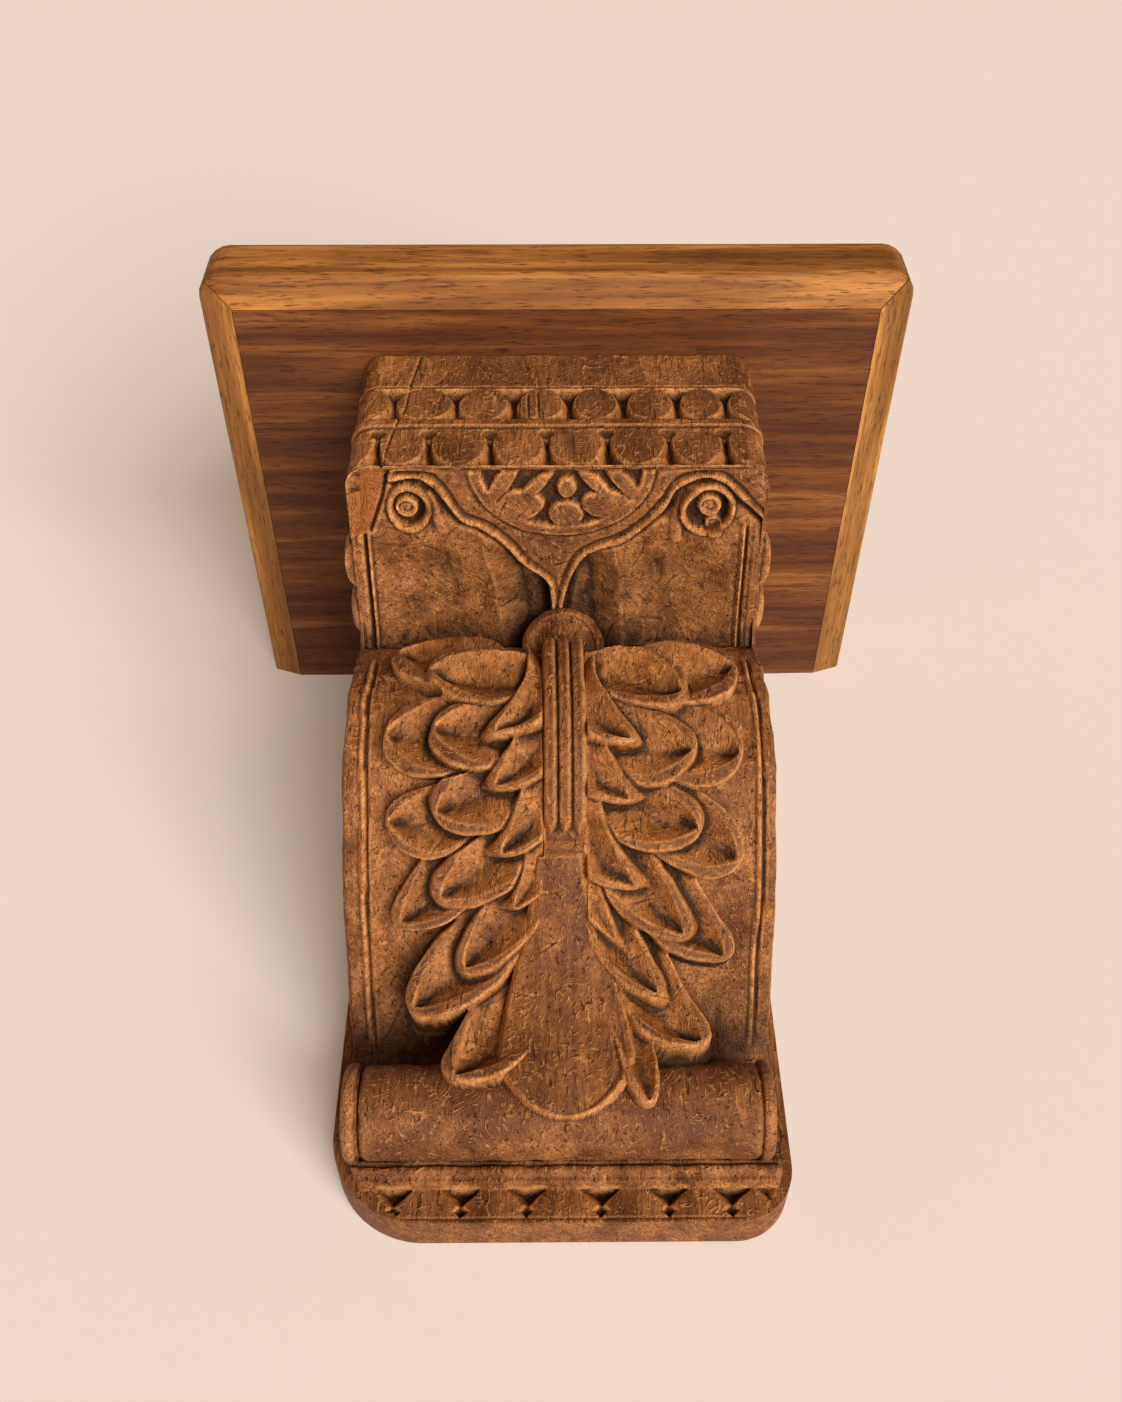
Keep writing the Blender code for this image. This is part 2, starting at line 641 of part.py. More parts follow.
def side_carving(additions):
    """On each side: a raised scroll line along the body and two lobes at the neck."""
    line = [point for point in body_line() if NECK_DROP < point[0]][1:-3]
    for side in (-1, 1):
        points = [at(side * CORBEL_WIDTH / 2, projection * 0.80, drop) for drop, projection in line]
        tube("side_line", points, 0.6 * SIDE_LOBE_RELIEF, additions)
        for inward in (0.56, 0.88):
            projection = BLOCK_PROJECTION - inward * (BLOCK_PROJECTION - NECK_PROJECTION)
            drop = face_drop(projection) - SIDE_LOBE_WIDTH / 3
            dome("side_lobe", at(side * CORBEL_WIDTH / 2, projection, drop),
                 ((1, 0, 0), (0, 1, 0), (0, 0, 1)),
                 (SIDE_LOBE_RELIEF, SIDE_LOBE_LENGTH / 2, SIDE_LOBE_WIDTH / 2), additions, 12, 8)


def chip(cuts):
    """The broken corner under the block's left front: a sloping wedge."""
    edge = CORBEL_WIDTH / 2 + SUNK
    front = BLOCK_PROJECTION + SUNK
    shape = bmesh.new()
    corners = (at(-edge, front, BLOCK_HEIGHT - 2 * MM),
               at(-edge + CHIP_WIDTH + SUNK, front, BLOCK_HEIGHT + SUNK),
               at(-edge, front - CHIP_DEPTH, face_drop(front - CHIP_DEPTH) - CHIP_HEIGHT / 3),
               at(-edge, front, BLOCK_HEIGHT + CHIP_HEIGHT),
               at(-edge, front - CHIP_DEPTH, BLOCK_HEIGHT + CHIP_HEIGHT),
               at(-edge + CHIP_WIDTH, front, BLOCK_HEIGHT + CHIP_HEIGHT))
    bmesh.ops.convex_hull(shape, input=[shape.verts.new(corner) for corner in corners])
    add_object("chip", mesh_of("chip", shape), cuts)


def boolean(obj, name, operation, collection):
    step = obj.modifiers.new(name, "BOOLEAN")
    step.operation = operation
    step.solver = "MANIFOLD"
    step.operand_type = "COLLECTION"
    step.collection = collection


def corbel(collection):
    """The one carved block: what is added to the body, then what is cut, then the roundels."""
    additions = new_collection("corbel_additions", helper=True)
    cuts = new_collection("corbel_cuts", helper=True)
    raised = new_collection("corbel_raised", helper=True)
    body = corbel_body(collection)
    top_block(additions)
    back_plate(additions)
    roll_and_foot(additions)
    side_rims(additions)
    scroll_carving(additions)
    side_carving(additions)
    leaf_bed(additions)
    tongue_root(additions)
    leaflets(additions)
    tongue(additions)
    stem(additions)
    collar(additions)
    block_carving(additions, cuts)
    dart_row("foot_dart", PLATE_THICKNESS, CORBEL_HEIGHT - 1.5 * MM, FOOT_DART_HEIGHT,
             FOOT_DART_WIDTH, FOOT_DART_DEPTH, FOOT_DART_PITCH, FOOT_DART_COUNT, cuts)
    chip(cuts)
    roundels(raised)
    boolean(body, "carving", "UNION", additions)
    boolean(body, "cut away", "DIFFERENCE", cuts)
    boolean(body, "roundels", "UNION", raised)
    return body


def main():
    clear_scene()
    collection = new_collection("carved_shelf_bracket")
    helpers = new_collection("shelf_helpers", helper=True)
    shelf_pieces(collection, helpers)
    corbel(collection)


main()
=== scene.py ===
"""The looks of the carved shelf bracket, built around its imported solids.

The wall is the plane Y = 0 and the bracket stands out from it along -Y, with +Z up to the shelf.
The corbel is one carved block of old hardwood. Here its surface is worked out on grids: the block
under the shelf, the face below the block, the body with its foot, the roll, and the leaf. Inside
the functions every measure is in millimetres: x across, p out from the wall, s down from the
underside of the shelf. place() turns them into scene metres.
"""

import math

import bpy
import numpy as np
from mathutils import Matrix, Vector


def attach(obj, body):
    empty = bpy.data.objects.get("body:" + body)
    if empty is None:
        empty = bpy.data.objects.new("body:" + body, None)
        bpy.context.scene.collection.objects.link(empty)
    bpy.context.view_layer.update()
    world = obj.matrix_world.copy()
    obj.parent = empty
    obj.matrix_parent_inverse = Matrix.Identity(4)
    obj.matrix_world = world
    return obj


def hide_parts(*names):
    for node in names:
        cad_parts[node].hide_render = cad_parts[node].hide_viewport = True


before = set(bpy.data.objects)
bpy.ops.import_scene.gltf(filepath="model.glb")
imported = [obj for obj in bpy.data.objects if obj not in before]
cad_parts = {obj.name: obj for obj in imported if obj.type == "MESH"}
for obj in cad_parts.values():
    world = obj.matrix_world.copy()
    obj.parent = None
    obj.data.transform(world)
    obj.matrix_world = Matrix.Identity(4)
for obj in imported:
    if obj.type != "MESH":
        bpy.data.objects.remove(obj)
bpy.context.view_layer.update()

MM = 0.001
UNDERSIDE = 152.0

# Corbel
HALF_WIDTH = 83.5
PLATE_HALF = 88.0
PLATE_THICK = 18.0
BLOCK_FRONT = 195.0
BLOCK_CORNER = 10.0
BLOCK_FOOT = 79.4
HEIGHT = 304.0
LEFT_FOOT_RADIUS = 36.0
RIGHT_FOOT_RADIUS = 22.0
ROLL_CENTRE = (0, -34, UNDERSIDE - 268)

# Cells of the grids: on the carving, along its outlines, and on the body
FACE_CELL = 0.6
LINE_CELL = 0.62
BODY_CELL = 0.9
# An edge folded more sharply than this keeps its crease
FOLD_ANGLE = math.radians(72)

# Side outline of the face below the block, from the arris in to the neck: drop, projection
UNDER_LINE = [(80.6, 194.2), (81.2, 192), (82, 186), (85, 162), (89, 133), (92.6, 122), (98, 114)]
# Side outline of the body from the neck down to the pocket behind the roll
BODY_LINE = [(98, 114), (101, 116), (110, 119.5), (125, 124.5), (140, 126), (159, 123.5), (170, 117.5),
             (182, 106), (194, 93.5), (205, 78), (211, 63), (219, 48.5), (225, 38), (232, 24),
             (236, 18.5)]
# Centre line of the leaf's top: drop, projection
LEAF_LINE = [(100, 120), (112, 131), (128, 136), (150, 136), (170, 129), (185, 117), (197, 104),
             (210, 88), (222, 75), (235, 67), (250, 62), (268, 60), (286, 54)]
LEAF_SIDE_FALL = 7.0
LEAF_BACK = -13.0

# Carved rows on the block's front: x of each middle, half width
ROUNDELS = [(-79.0, 11.0), (-54.5, 12.1), (-30.3, 10.9), (-7.0, 10.0), (15.7, 9.7), (38.0, 10.0),
            (59.0, 9.2), (80.5, 11.0)]
DARTS = [-71.9, -51.7, -27.2, -4.6, 19.5, 44.1, 66.6]
FOOT_DARTS = [-62.8, -37.8, -12.8, 14.5, 40.2, 63.8, 80.6]
DISC_ROW, OVAL_ROW, DISH_ROW = 37.3, 63.0, 57.6

# Moulding under the block: x, p along each side, from the collar out to the scroll
MOULDING_RIGHT = [(1, 128), (1.6, 134), (5, 146), (9, 154), (16, 159), (25, 162), (34, 169),
                  (42, 178), (47, 187), (58, 191.5), (66, 189), (72, 183), (82, 173)]
MOULDING_LEFT = [(-2, 128), (-2, 134), (-4, 143), (-14, 152), (-22, 162), (-31, 169), (-39, 173),
                 (-45, 183), (-49, 188), (-55, 191.5), (-66, 190.5)]

# Lobes of the leaf in the order they are laid, lowest first:
# tip x, tip s, root x, root s, width, lift, sag of the lobe's middle line
LOBES = [
    (-42, 268, -14, 226, 27, 0, 0.12), (33, 278, 24, 240, 14, 0.4, 0),
    (-58, 241, -18, 212, 27, 0, 0.03), (56, 254, 30, 220, 24, 0, 0.15),
    (-38, 229, -8, 205, 20, 2, 0), (39, 238, 14, 203, 18, 2, 0.1),
    (-64, 214, -34, 190, 24, 0, 0.12), (66, 223, 36, 196, 25, 0, 0.14),
    (-48, 208, -10, 186, 24, 2, 0.08), (50, 218, 14, 186, 23, 2, 0.08),
    (-19, 211, -8, 192, 11, 3.6, 0.15), (22, 220, 10, 196, 9, 3.6, 0.1),
    (-67, 187, -34, 186, 26, 0, 0.08), (70, 198, 32, 184, 29, 0, 0),
    (-49, 186, -12, 176, 26, 2, 0.04), (55, 190, 12, 178, 27, 2, 0.08),
    (-25, 198, -6, 168, 16, 3.6, 0.18), (31, 206, 8, 176, 17, 3.6, 0.2),
    (-68, 159, -34, 162, 31, 0, 0), (71, 167, 34, 160, 33, 0, 0),
    (-50, 160, -12, 164, 26, 2, 0), (53, 167, 14, 160, 28, 2, 0.1),
    (-26, 181, -6, 149, 17, 3.6, 0.18), (29, 184, 8, 156, 17, 3.6, 0.2),
    (-66, 114, -26, 133, 34, 0.6, -0.06), (72, 125, 30, 134, 34, 0.6, 0),
    (-52, 131, -8, 136, 24, 2.4, 0.1), (50, 146, 10, 131, 26, 2.4, -0.02),
    (-27, 164, -6, 127, 17, 3.8, 0.22), (29, 167, 8, 136, 17, 3.8, 0.18),
]


# Shapes on grids

def place(x, p, s):
    """Scene points in metres: x across, y against the projection, z up from the drop."""
    return np.stack(np.broadcast_arrays(x, -np.asarray(p), UNDERSIDE - np.asarray(s)), axis=-1) * MM


def ramp(low, high, value):
    """0 below low and 1 above high, with an S-curve 3t^2 - 2t^3 between them."""
    t = np.clip((value - low) / (high - low), 0.0, 1.0)
    return t * t * (3.0 - 2.0 * t)


def bead(gap, width, height, power=2):
    """A bead: height times 1 - (gap / half the width)^power, and nothing beyond it. A power of 2
    makes it round, a higher one flatter on top."""
    return height * np.clip(1.0 - (2.0 * gap / width) ** power, 0.0, None)


def oval_gap(x, y, middle_x, middle_y, half_x, half_y):
    """About how far outside an ellipse a point lies; negative inside it."""
    return (np.hypot((x - middle_x) / half_x, (y - middle_y) / half_y) - 1.0) * min(half_x, half_y)


def line_gap(x, y, points):
    """Distance to the nearest stretch of a line through points."""
    gap = np.full(np.shape(x), 1e6)
    for (x0, y0), (x1, y1) in zip(points[:-1], points[1:]):
        along = ((x - x0) * (x1 - x0) + (y - y0) * (y1 - y0)) / ((x1 - x0) ** 2 + (y1 - y0) ** 2)
        along = np.clip(along, 0.0, 1.0)
        gap = np.minimum(gap, np.hypot(x - x0 - along * (x1 - x0), y - y0 - along * (y1 - y0)))
    return gap


def smooth_line(points, spacing):
    """Points spacing apart along the Catmull-Rom curve through the given ones."""
    points = np.array(points, float)
    ends = np.concatenate([2 * points[:1] - points[1:2], points, 2 * points[-1:] - points[-2:-1]])
    t = np.linspace(0, 1, 33)[:-1, None]
    spans = [0.5 * (2 * b + (c - a) * t + (2 * a - 5 * b + 4 * c - d) * t ** 2
                    + (3 * b - a - 3 * c + d) * t ** 3)
             for a, b, c, d in zip(ends[:-3], ends[1:-2], ends[2:-1], ends[3:])]
    line = np.concatenate(spans + [points[-1:]])
    along = np.concatenate([[0], np.cumsum(np.hypot(*np.diff(line, axis=0).T))])
    even = np.linspace(0, along[-1], max(2, int(round(along[-1] / spacing)) + 1))
    return np.stack([np.interp(even, along, line[:, 0]), np.interp(even, along, line[:, 1])], axis=-1)


def uneven(u, v, size, seed):
    """Smooth noise from -1 to 1: seeded random numbers on a lattice size mm apart, blended between."""
    lattice = np.random.default_rng(seed).random((97, 89)) * 2.0 - 1.0
    a, b = np.asarray(u) / size + 40.0, np.asarray(v) / size + 40.0
    i, j = np.floor(a).astype(int), np.floor(b).astype(int)
    fa, fb = ramp(0, 1, a - i), ramp(0, 1, b - j)
    i, j = i % 96, j % 88
    return ((lattice[i, j] * (1 - fa) + lattice[i + 1, j] * fa) * (1 - fb)
            + (lattice[i, j + 1] * (1 - fa) + lattice[i + 1, j + 1] * fa) * fb)


def tool_marks(u, v, seed, count, region):
    """Short shallow cuts left by the gouge: each a curved line with a rounded groove, in mm."""
    marks = np.zeros(np.shape(u))
    picks = np.random.default_rng(seed)
    u0, u1, v0, v1 = region
    for _ in range(count):
        middle_u, middle_v = picks.uniform(u0, u1), picks.uniform(v0, v1)
        angle, half = picks.uniform(0, math.pi), picks.uniform(2.5, 8.0)
        bend, width = picks.uniform(-0.04, 0.04), picks.uniform(0.9, 1.3)
        depth = picks.uniform(0.15, 0.4)
        along = (u - middle_u) * math.cos(angle) + (v - middle_v) * math.sin(angle)
        beside = (v - middle_v) * math.cos(angle) - (u - middle_u) * math.sin(angle) - bend * along ** 2
        marks -= bead(beside, width, depth) * ramp(half, half * 0.5, np.abs(along))
    return marks


def blurred(field, cells):
    """The field's mean over a square of 2 cells + 1 points, along one axis and then the other."""
    span = 2 * cells + 1
    for axis in (0, 1):
        pad = [(0, 0), (0, 0)]
        pad[axis] = (cells + 1, cells)
        total = np.cumsum(np.pad(field, pad, mode="edge"), axis=axis)
        last = np.arange(span, total.shape[axis])
        field = (np.take(total, last, axis) - np.take(total, last - span, axis)) / span
    return field


def square_to(points, wrapped):
    """Unit directions square to a grid of points, from the steps along its rows and columns."""
    down = np.gradient(points, axis=0)
    if wrapped:
        across = np.roll(points, -1, axis=1) - np.roll(points, 1, axis=1)
    else:
        across = np.gradient(points, axis=1)
    out = np.cross(across, down)
    length = np.linalg.norm(out, axis=-1, keepdims=True)
    return out / np.maximum(length, 1e-12)


def grid_quads(rows, columns, wrapped=False):
    """The quads between neighbouring points of a grid numbered row by row."""
    row = np.arange(rows - 1)[:, None]
    column = np.arange(columns if wrapped else columns - 1)[None, :]
    after = (column + 1) % columns
    quads = [row * columns + column, row * columns + after,
             (row + 1) * columns + after, (row + 1) * columns + column]
    return np.stack(np.broadcast_arrays(*quads), axis=-1).reshape(-1, 4)


def capped_tube(points, fields, plug=None):
    """A closed tube from a grid whose columns wrap round, with a fan of triangles over each end.

    Where plug is given, one more ring follows each end: drawn in by 6% towards the middle of the
    back, half a millimetre out from the wall, and moved up by plug metres. An end which lies
    inside the neighbouring piece then can't show through its carving.
    """
    if plug is not None:
        drawn_in, off_wall = np.array([0.94, 0.94, 1.0]), -0.5 * MM
        rings = [ring * drawn_in + np.array([0, off_wall, up])
                 for ring, up in ((points[0], plug[0]), (points[-1], plug[1]))]
        points = np.concatenate([rings[0][None], points, rings[1][None]])
        fields = {name: np.concatenate([field[:1], field, field[-1:]])
                  for name, field in fields.items()}
    rows, columns = points.shape[:2]
    count = rows * columns
    ends = np.stack([points[0].mean(axis=0), points[-1].mean(axis=0)])
    every = np.concatenate([points.reshape(-1, 3), ends])
    ring = np.arange(columns)
    after = (ring + 1) % columns
    first = np.stack([after, ring, np.full(columns, count)], axis=-1)
    last = np.stack([ring, after, np.full(columns, count + 1)], axis=-1)
    last[:, :2] += (rows - 1) * columns
    values = {name: np.concatenate([field.ravel(), [0.0, 0.0]]) for name, field in fields.items()}
    return every, [grid_quads(rows, columns, True), np.concatenate([first, last])], values


def welded(points, faces, fields):
    """Joins points that lie on the same spot; a quad that loses a corner becomes a triangle."""
    _, keep, same = np.unique(np.round(points / 1e-7).astype(np.int64), axis=0,
                              return_index=True, return_inverse=True)
    same = same.reshape(-1)
    quads, triangles = [], []
    for group in faces:
        group = same[group]
        sides = group != np.roll(group, -1, axis=1)
        count = sides.sum(axis=1)
        if group.shape[1] == 4:
            quads.append(group[count == 4])
        triangles.append(group[count == 3][sides[count == 3]].reshape(-1, 3))
    fields = {name: field[keep] for name, field in fields.items()}
    faces = [np.concatenate(group) for group in (quads, triangles)]
    return points[keep], faces, fields


def faces_out(points, faces):
    """Turns all faces over if the closed shape has them inward: its signed volume is then negative."""
    volume = 0.0
    for group in faces:
        for k in range(1, group.shape[1] - 1):
            a, b, c = points[group[:, 0]], points[group[:, k]], points[group[:, k + 1]]
            volume += np.einsum("ij,ij->i", a, np.cross(b, c)).sum()
    return faces if volume > 0 else [group[:, ::-1] for group in faces]


def add_piece(name, shape, material):
    """Puts points, faces and named fields into a smooth mesh that rides on the one body."""
    points, faces, fields = welded(*shape)
    faces = faces_out(points, faces)
    mesh = bpy.data.meshes.new(name)
    mesh.from_pydata(points.tolist(), [], [face for group in faces for face in group.tolist()])
    mesh.shade_smooth()
    mesh.set_sharp_from_angle(angle=FOLD_ANGLE)
    for field_name, values in fields.items():
        layer = mesh.attributes.new(field_name, "FLOAT", "POINT")
        layer.data.foreach_set("value", values.astype(np.float32))
    mesh.materials.append(material)
    piece = bpy.data.objects.new(name, mesh)
    bpy.context.scene.collection.objects.link(piece)
    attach(piece, "root")
    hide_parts("corbel")


def wear_fields(relief, cells, skin, fresh=0.0):
    """What the finish follows, from 0 to 1: edge wear with a painted highlight on it where the relief
    stands above its mean close by, grime with painted shade where it lies below its mean further
    round or close by, `cut` where it is steep, old `skin`, and a `fresh` break."""
    near, wide = blurred(relief, max(1, cells // 2)), blurred(relief, 2 * cells)
    down, across = np.gradient(relief)
    # pool and crease are painted shade, with grime: dark where the relief lies below its wider mean,
    # and thin dark lines in its narrow dips
    pool, crease = np.clip((wide - relief - 0.1) / 1.5, 0, 1), np.clip((near - relief) / 0.4, 0, 0.8)
    return {
        # Lighter on raised edges: wear, with a painted highlight
        "wear_and_highlight": np.clip((relief - near) / 0.5, 0, 1),
        "grime_and_shade": np.clip(pool + crease, 0, 1),
        "cut": np.clip(np.hypot(down, across) / 0.6, 0, 1),
        "skin": skin + np.zeros(relief.shape),
        "fresh": fresh + np.zeros(relief.shape),
    }


# Materials

def linear(colour):
    """Linear RGBA of an sRGB hex colour."""
    parts = [int(colour[i:i + 2], 16) / 255 for i in (1, 3, 5)]
    return [c / 12.92 if c <= 0.04045 else ((c + 0.055) / 1.055) ** 2.4 for c in parts] + [1.0]


def add_node(tree, kind, inputs=None, out=0, **settings):
    """Adds one node with its settings and gives back one output. An input given as a socket is
    linked, any other is set."""
    made = tree.nodes.new(kind)
    for name, value in settings.items():
        setattr(made, name, value)
    for name, value in (inputs or {}).items():
        if isinstance(value, bpy.types.NodeSocket):
            tree.links.new(value, made.inputs[name])
        else:
            made.inputs[name].default_value = value
    return made.outputs[out]


def grain_patterns(tree, patterns):
    """Named noise on Object coordinates. A row holds how much each axis is drawn out, so that the
    pattern runs with the grain, its size in mm, detail, roughness and distortion."""
    fields = {}
    for name, (drawn, size_mm, detail, rough, distortion) in patterns.items():
        coordinates = add_node(tree, "ShaderNodeTexCoord", out="Object")
        along = add_node(tree, "ShaderNodeMapping", {"Vector": coordinates, "Scale": drawn})
        fields[name] = add_node(tree, "ShaderNodeTexNoise", {
            "Vector": along, "Scale": 1000.0 / size_mm, "Detail": detail, "Roughness": rough,
            "Distortion": distortion})
    return fields


def work_fields(tree, fields, windows, products=()):
    """Adds named fields. A window carries a field from low..high to least..most and holds it
    between them; a product multiplies two fields."""
    for name, source, low, high, least, most in windows:
        fields[name] = add_node(tree, "ShaderNodeMapRange", {
            "Value": fields[source], "From Min": low, "From Max": high,
            "To Min": least, "To Max": most})
    for name, first, second in products:
        fields[name] = add_node(tree, "ShaderNodeMath", {0: fields[first], 1: fields[second]},
                                operation="MULTIPLY")


def stained(tree, fields, ground, stains):
    """A colour built up from the ground: each stain's share is its field times its strength."""
    colour = linear(ground)
    for name, strength, stain in stains:
        share = add_node(tree, "ShaderNodeMath", {0: fields[name], 1: strength}, operation="MULTIPLY")
        over = linear(stain) if isinstance(stain, str) else stain
        colour = add_node(tree, "ShaderNodeMix", {0: share, 6: colour, 7: over}, 2, data_type="RGBA")
    return colour


def wax_over(tree, shader, fields, colour, heights, strength, depth_mm):
    """Gives the shader its colour, the dull gloss of old wax from the field `gloss`, and a bump
    whose height is the sum of the named fields, each times its own height."""
    total = 0.0
    for name, height in heights:
        total = add_node(tree, "ShaderNodeMath", {0: fields[name], 1: height, 2: total},
                         operation="MULTIPLY_ADD")
    bump = add_node(tree, "ShaderNodeBump", {
        "Height": total, "Strength": strength, "Distance": depth_mm * MM})
    for name, value in (("Base Color", colour), ("Roughness", fields["gloss"]), ("Normal", bump)):
        tree.links.new(value, shader.inputs[name])
    shader.inputs["Specular IOR Level"].default_value = 0.25


def new_material(name):
    """A material with its node tree and its shader."""
    material = bpy.data.materials.new(name)
    material.use_nodes = True
    return material, material.node_tree, material.node_tree.nodes["Principled BSDF"]


def carved_hardwood():
    """Old carved hardwood, hand cut and waxed: brown wood with fine curling tool tracks, a grey
    purple patina on the old skin, warm orange on cut slopes, lighter edge wear with a painted
    highlight on it, grime with near black painted shade in the hollows and creases, and plain
    long grain on the sawn sides and back.

    The tracks are crests and troughs of the sine of a slow noise, so they curl, and they show only
    here and there. The wood's pores, about 0.2 mm, are too fine to show and are drawn as 1.9 mm
    pits; so are its fibres, drawn 1.1 mm wide and ten times as long.
    """
    material, tree, shader = new_material("old carved hardwood, waxed")
    even, upright = (1.0, 1.0, 1.0), (1.0, 0.85, 0.16)
    fields = grain_patterns(tree, {
        "fibre": ((1.0, 0.8, 0.1), 1.1, 3.0, 0.6, 0.0),
        "mottle": ((1.0, 0.9, 0.35), 13.0, 4.0, 0.55, 0.0),
        "patch": (even, 36.0, 3.0, 0.55, 0.0),
        "swirl": ((1.0, 1.0, 0.6), 13.0, 2.0, 0.45, 1.0),
        "scatter": (even, 3.0, 2.0, 0.6, 0.0),
        "stroke": (upright, 1.3, 1.0, 0.5, 0.8),
        "scar": (upright, 1.6, 1.0, 0.5, 1.2),
        "pit": (even, 1.9, 1.0, 0.5, 0.0),
        "chafe": (even, 5.0, 3.0, 0.6, 0.0),
        "grain": ((1.0, 1.0, 0.045), 6.0, 5.0, 0.62, 0.4)})
    for name in ("wear_and_highlight", "grime_and_shade", "cut", "skin", "fresh", "sawn"):
        fields[name] = add_node(tree, "ShaderNodeAttribute", out="Fac", attribute_name=name)
    turns = add_node(tree, "ShaderNodeMath", {0: fields["swirl"], 1: 85.0}, operation="MULTIPLY")
    fields["wave"] = add_node(tree, "ShaderNodeMath", {0: turns}, operation="SINE")
    work_fields(tree, fields, (
        ("light", "mottle", 0.37, 0.64, 0.0, 1.0), ("gloss", "mottle", 0.3, 0.7, 0.52, 0.7),
        ("here", "scatter", 0.42, 0.56, 0.0, 1.0), ("by hand", "sawn", 0.0, 1.0, 1.0, 0.35),
        ("track", "wave", 0.45, 1.0, 0.0, 1.0), ("furrow", "wave", -0.5, -1.0, 0.0, 1.0),
        ("stroke", "stroke", 0.62, 0.70, 0.0, 1.0), ("scar", "scar", 0.34, 0.27, 0.0, 1.0),
        ("pit", "pit", 0.71, 0.77, 0.0, 1.0), ("chafe", "chafe", 0.36, 0.56, 0.2, 1.0),
        ("grain", "grain", 0.40, 0.60, 0.0, 1.0), ("dark fibre", "fibre", 0.45, 0.62, 0.0, 0.6),
        ("patch", "patch", 0.38, 0.60, 0.3, 0.95)), (
        ("here", "here", "by hand"), ("track", "track", "here"), ("furrow", "furrow", "here"),
        ("skin", "skin", "patch"), ("wear_and_highlight", "wear_and_highlight", "chafe")))
    long_grain = stained(tree, fields, "#b0733c", (("grain", 1.0, "#6b3c18"),))
    colour = stained(tree, fields, "#623412", (
        ("light", 1.0, "#c18048"), ("sawn", 0.75, long_grain), ("dark fibre", 1.0, "#46220a"),
        ("skin", 1.0, "#61371e"), ("cut", 0.5, "#c07a3c"), ("stroke", 0.48, "#d09253"),
        ("track", 0.44, "#d39656"), ("furrow", 0.4, "#44220d"), ("scar", 0.7, "#34190a"),
        # The lightest stain is edge wear with a painted highlight; the near black one is grime with
        # painted shade in hollows, creases and the leaf's gaps
        ("pit", 0.7, "#2c1608"), ("wear_and_highlight", 0.75, "#dc9c5e"), ("grime_and_shade", 0.9, "#261204"),
        ("fresh", 1.0, "#a0602f")))
    heights = (("fibre", 0.6), ("track", 0.8), ("stroke", 0.6), ("pit", -0.9), ("scar", -1.0))
    wax_over(tree, shader, fields, colour, heights, 1.0, 0.7)
    return material


def plank_wood(name, along, deep, middle, light):
    """Planed and waxed board: bands of growth 14 mm wide with 3 mm streaks, along its own grain, and
    pores, drawn 0.8 mm wide because real ones of 0.2 mm are too fine to show. `along` holds how
    much a pattern is drawn out on each axis; the pores are shorter."""
    material, tree, shader = new_material(name)
    fields = grain_patterns(tree, {
        "figure": (along, 14.0, 6.0, 0.62, 0.5),
        "streak": (along, 3.0, 4.0, 0.65, 0.3),
        "pore": ([a if a == 1.0 else a * 1.6 for a in along], 0.8, 2.0, 0.6, 0.0)})
    work_fields(tree, fields, (
        ("band", "figure", 0.36, 0.62, 0.0, 1.0), ("glow", "figure", 0.54, 0.72, 0.0, 0.9),
        ("line", "streak", 0.48, 0.66, 0.0, 0.75), ("pit", "pore", 0.56, 0.68, 0.0, 0.7),
        ("gloss", "streak", 0.3, 0.7, 0.48, 0.65)))
    colour = stained(tree, fields, deep, (
        ("band", 1.0, middle), ("glow", 1.0, light), ("line", 1.0, deep), ("pit", 1.0, "#24120a")))
    wax_over(tree, shader, fields, colour, (("streak", 0.5), ("pore", -0.4)), 0.6, 0.3)
    return material


# The corbel's surface

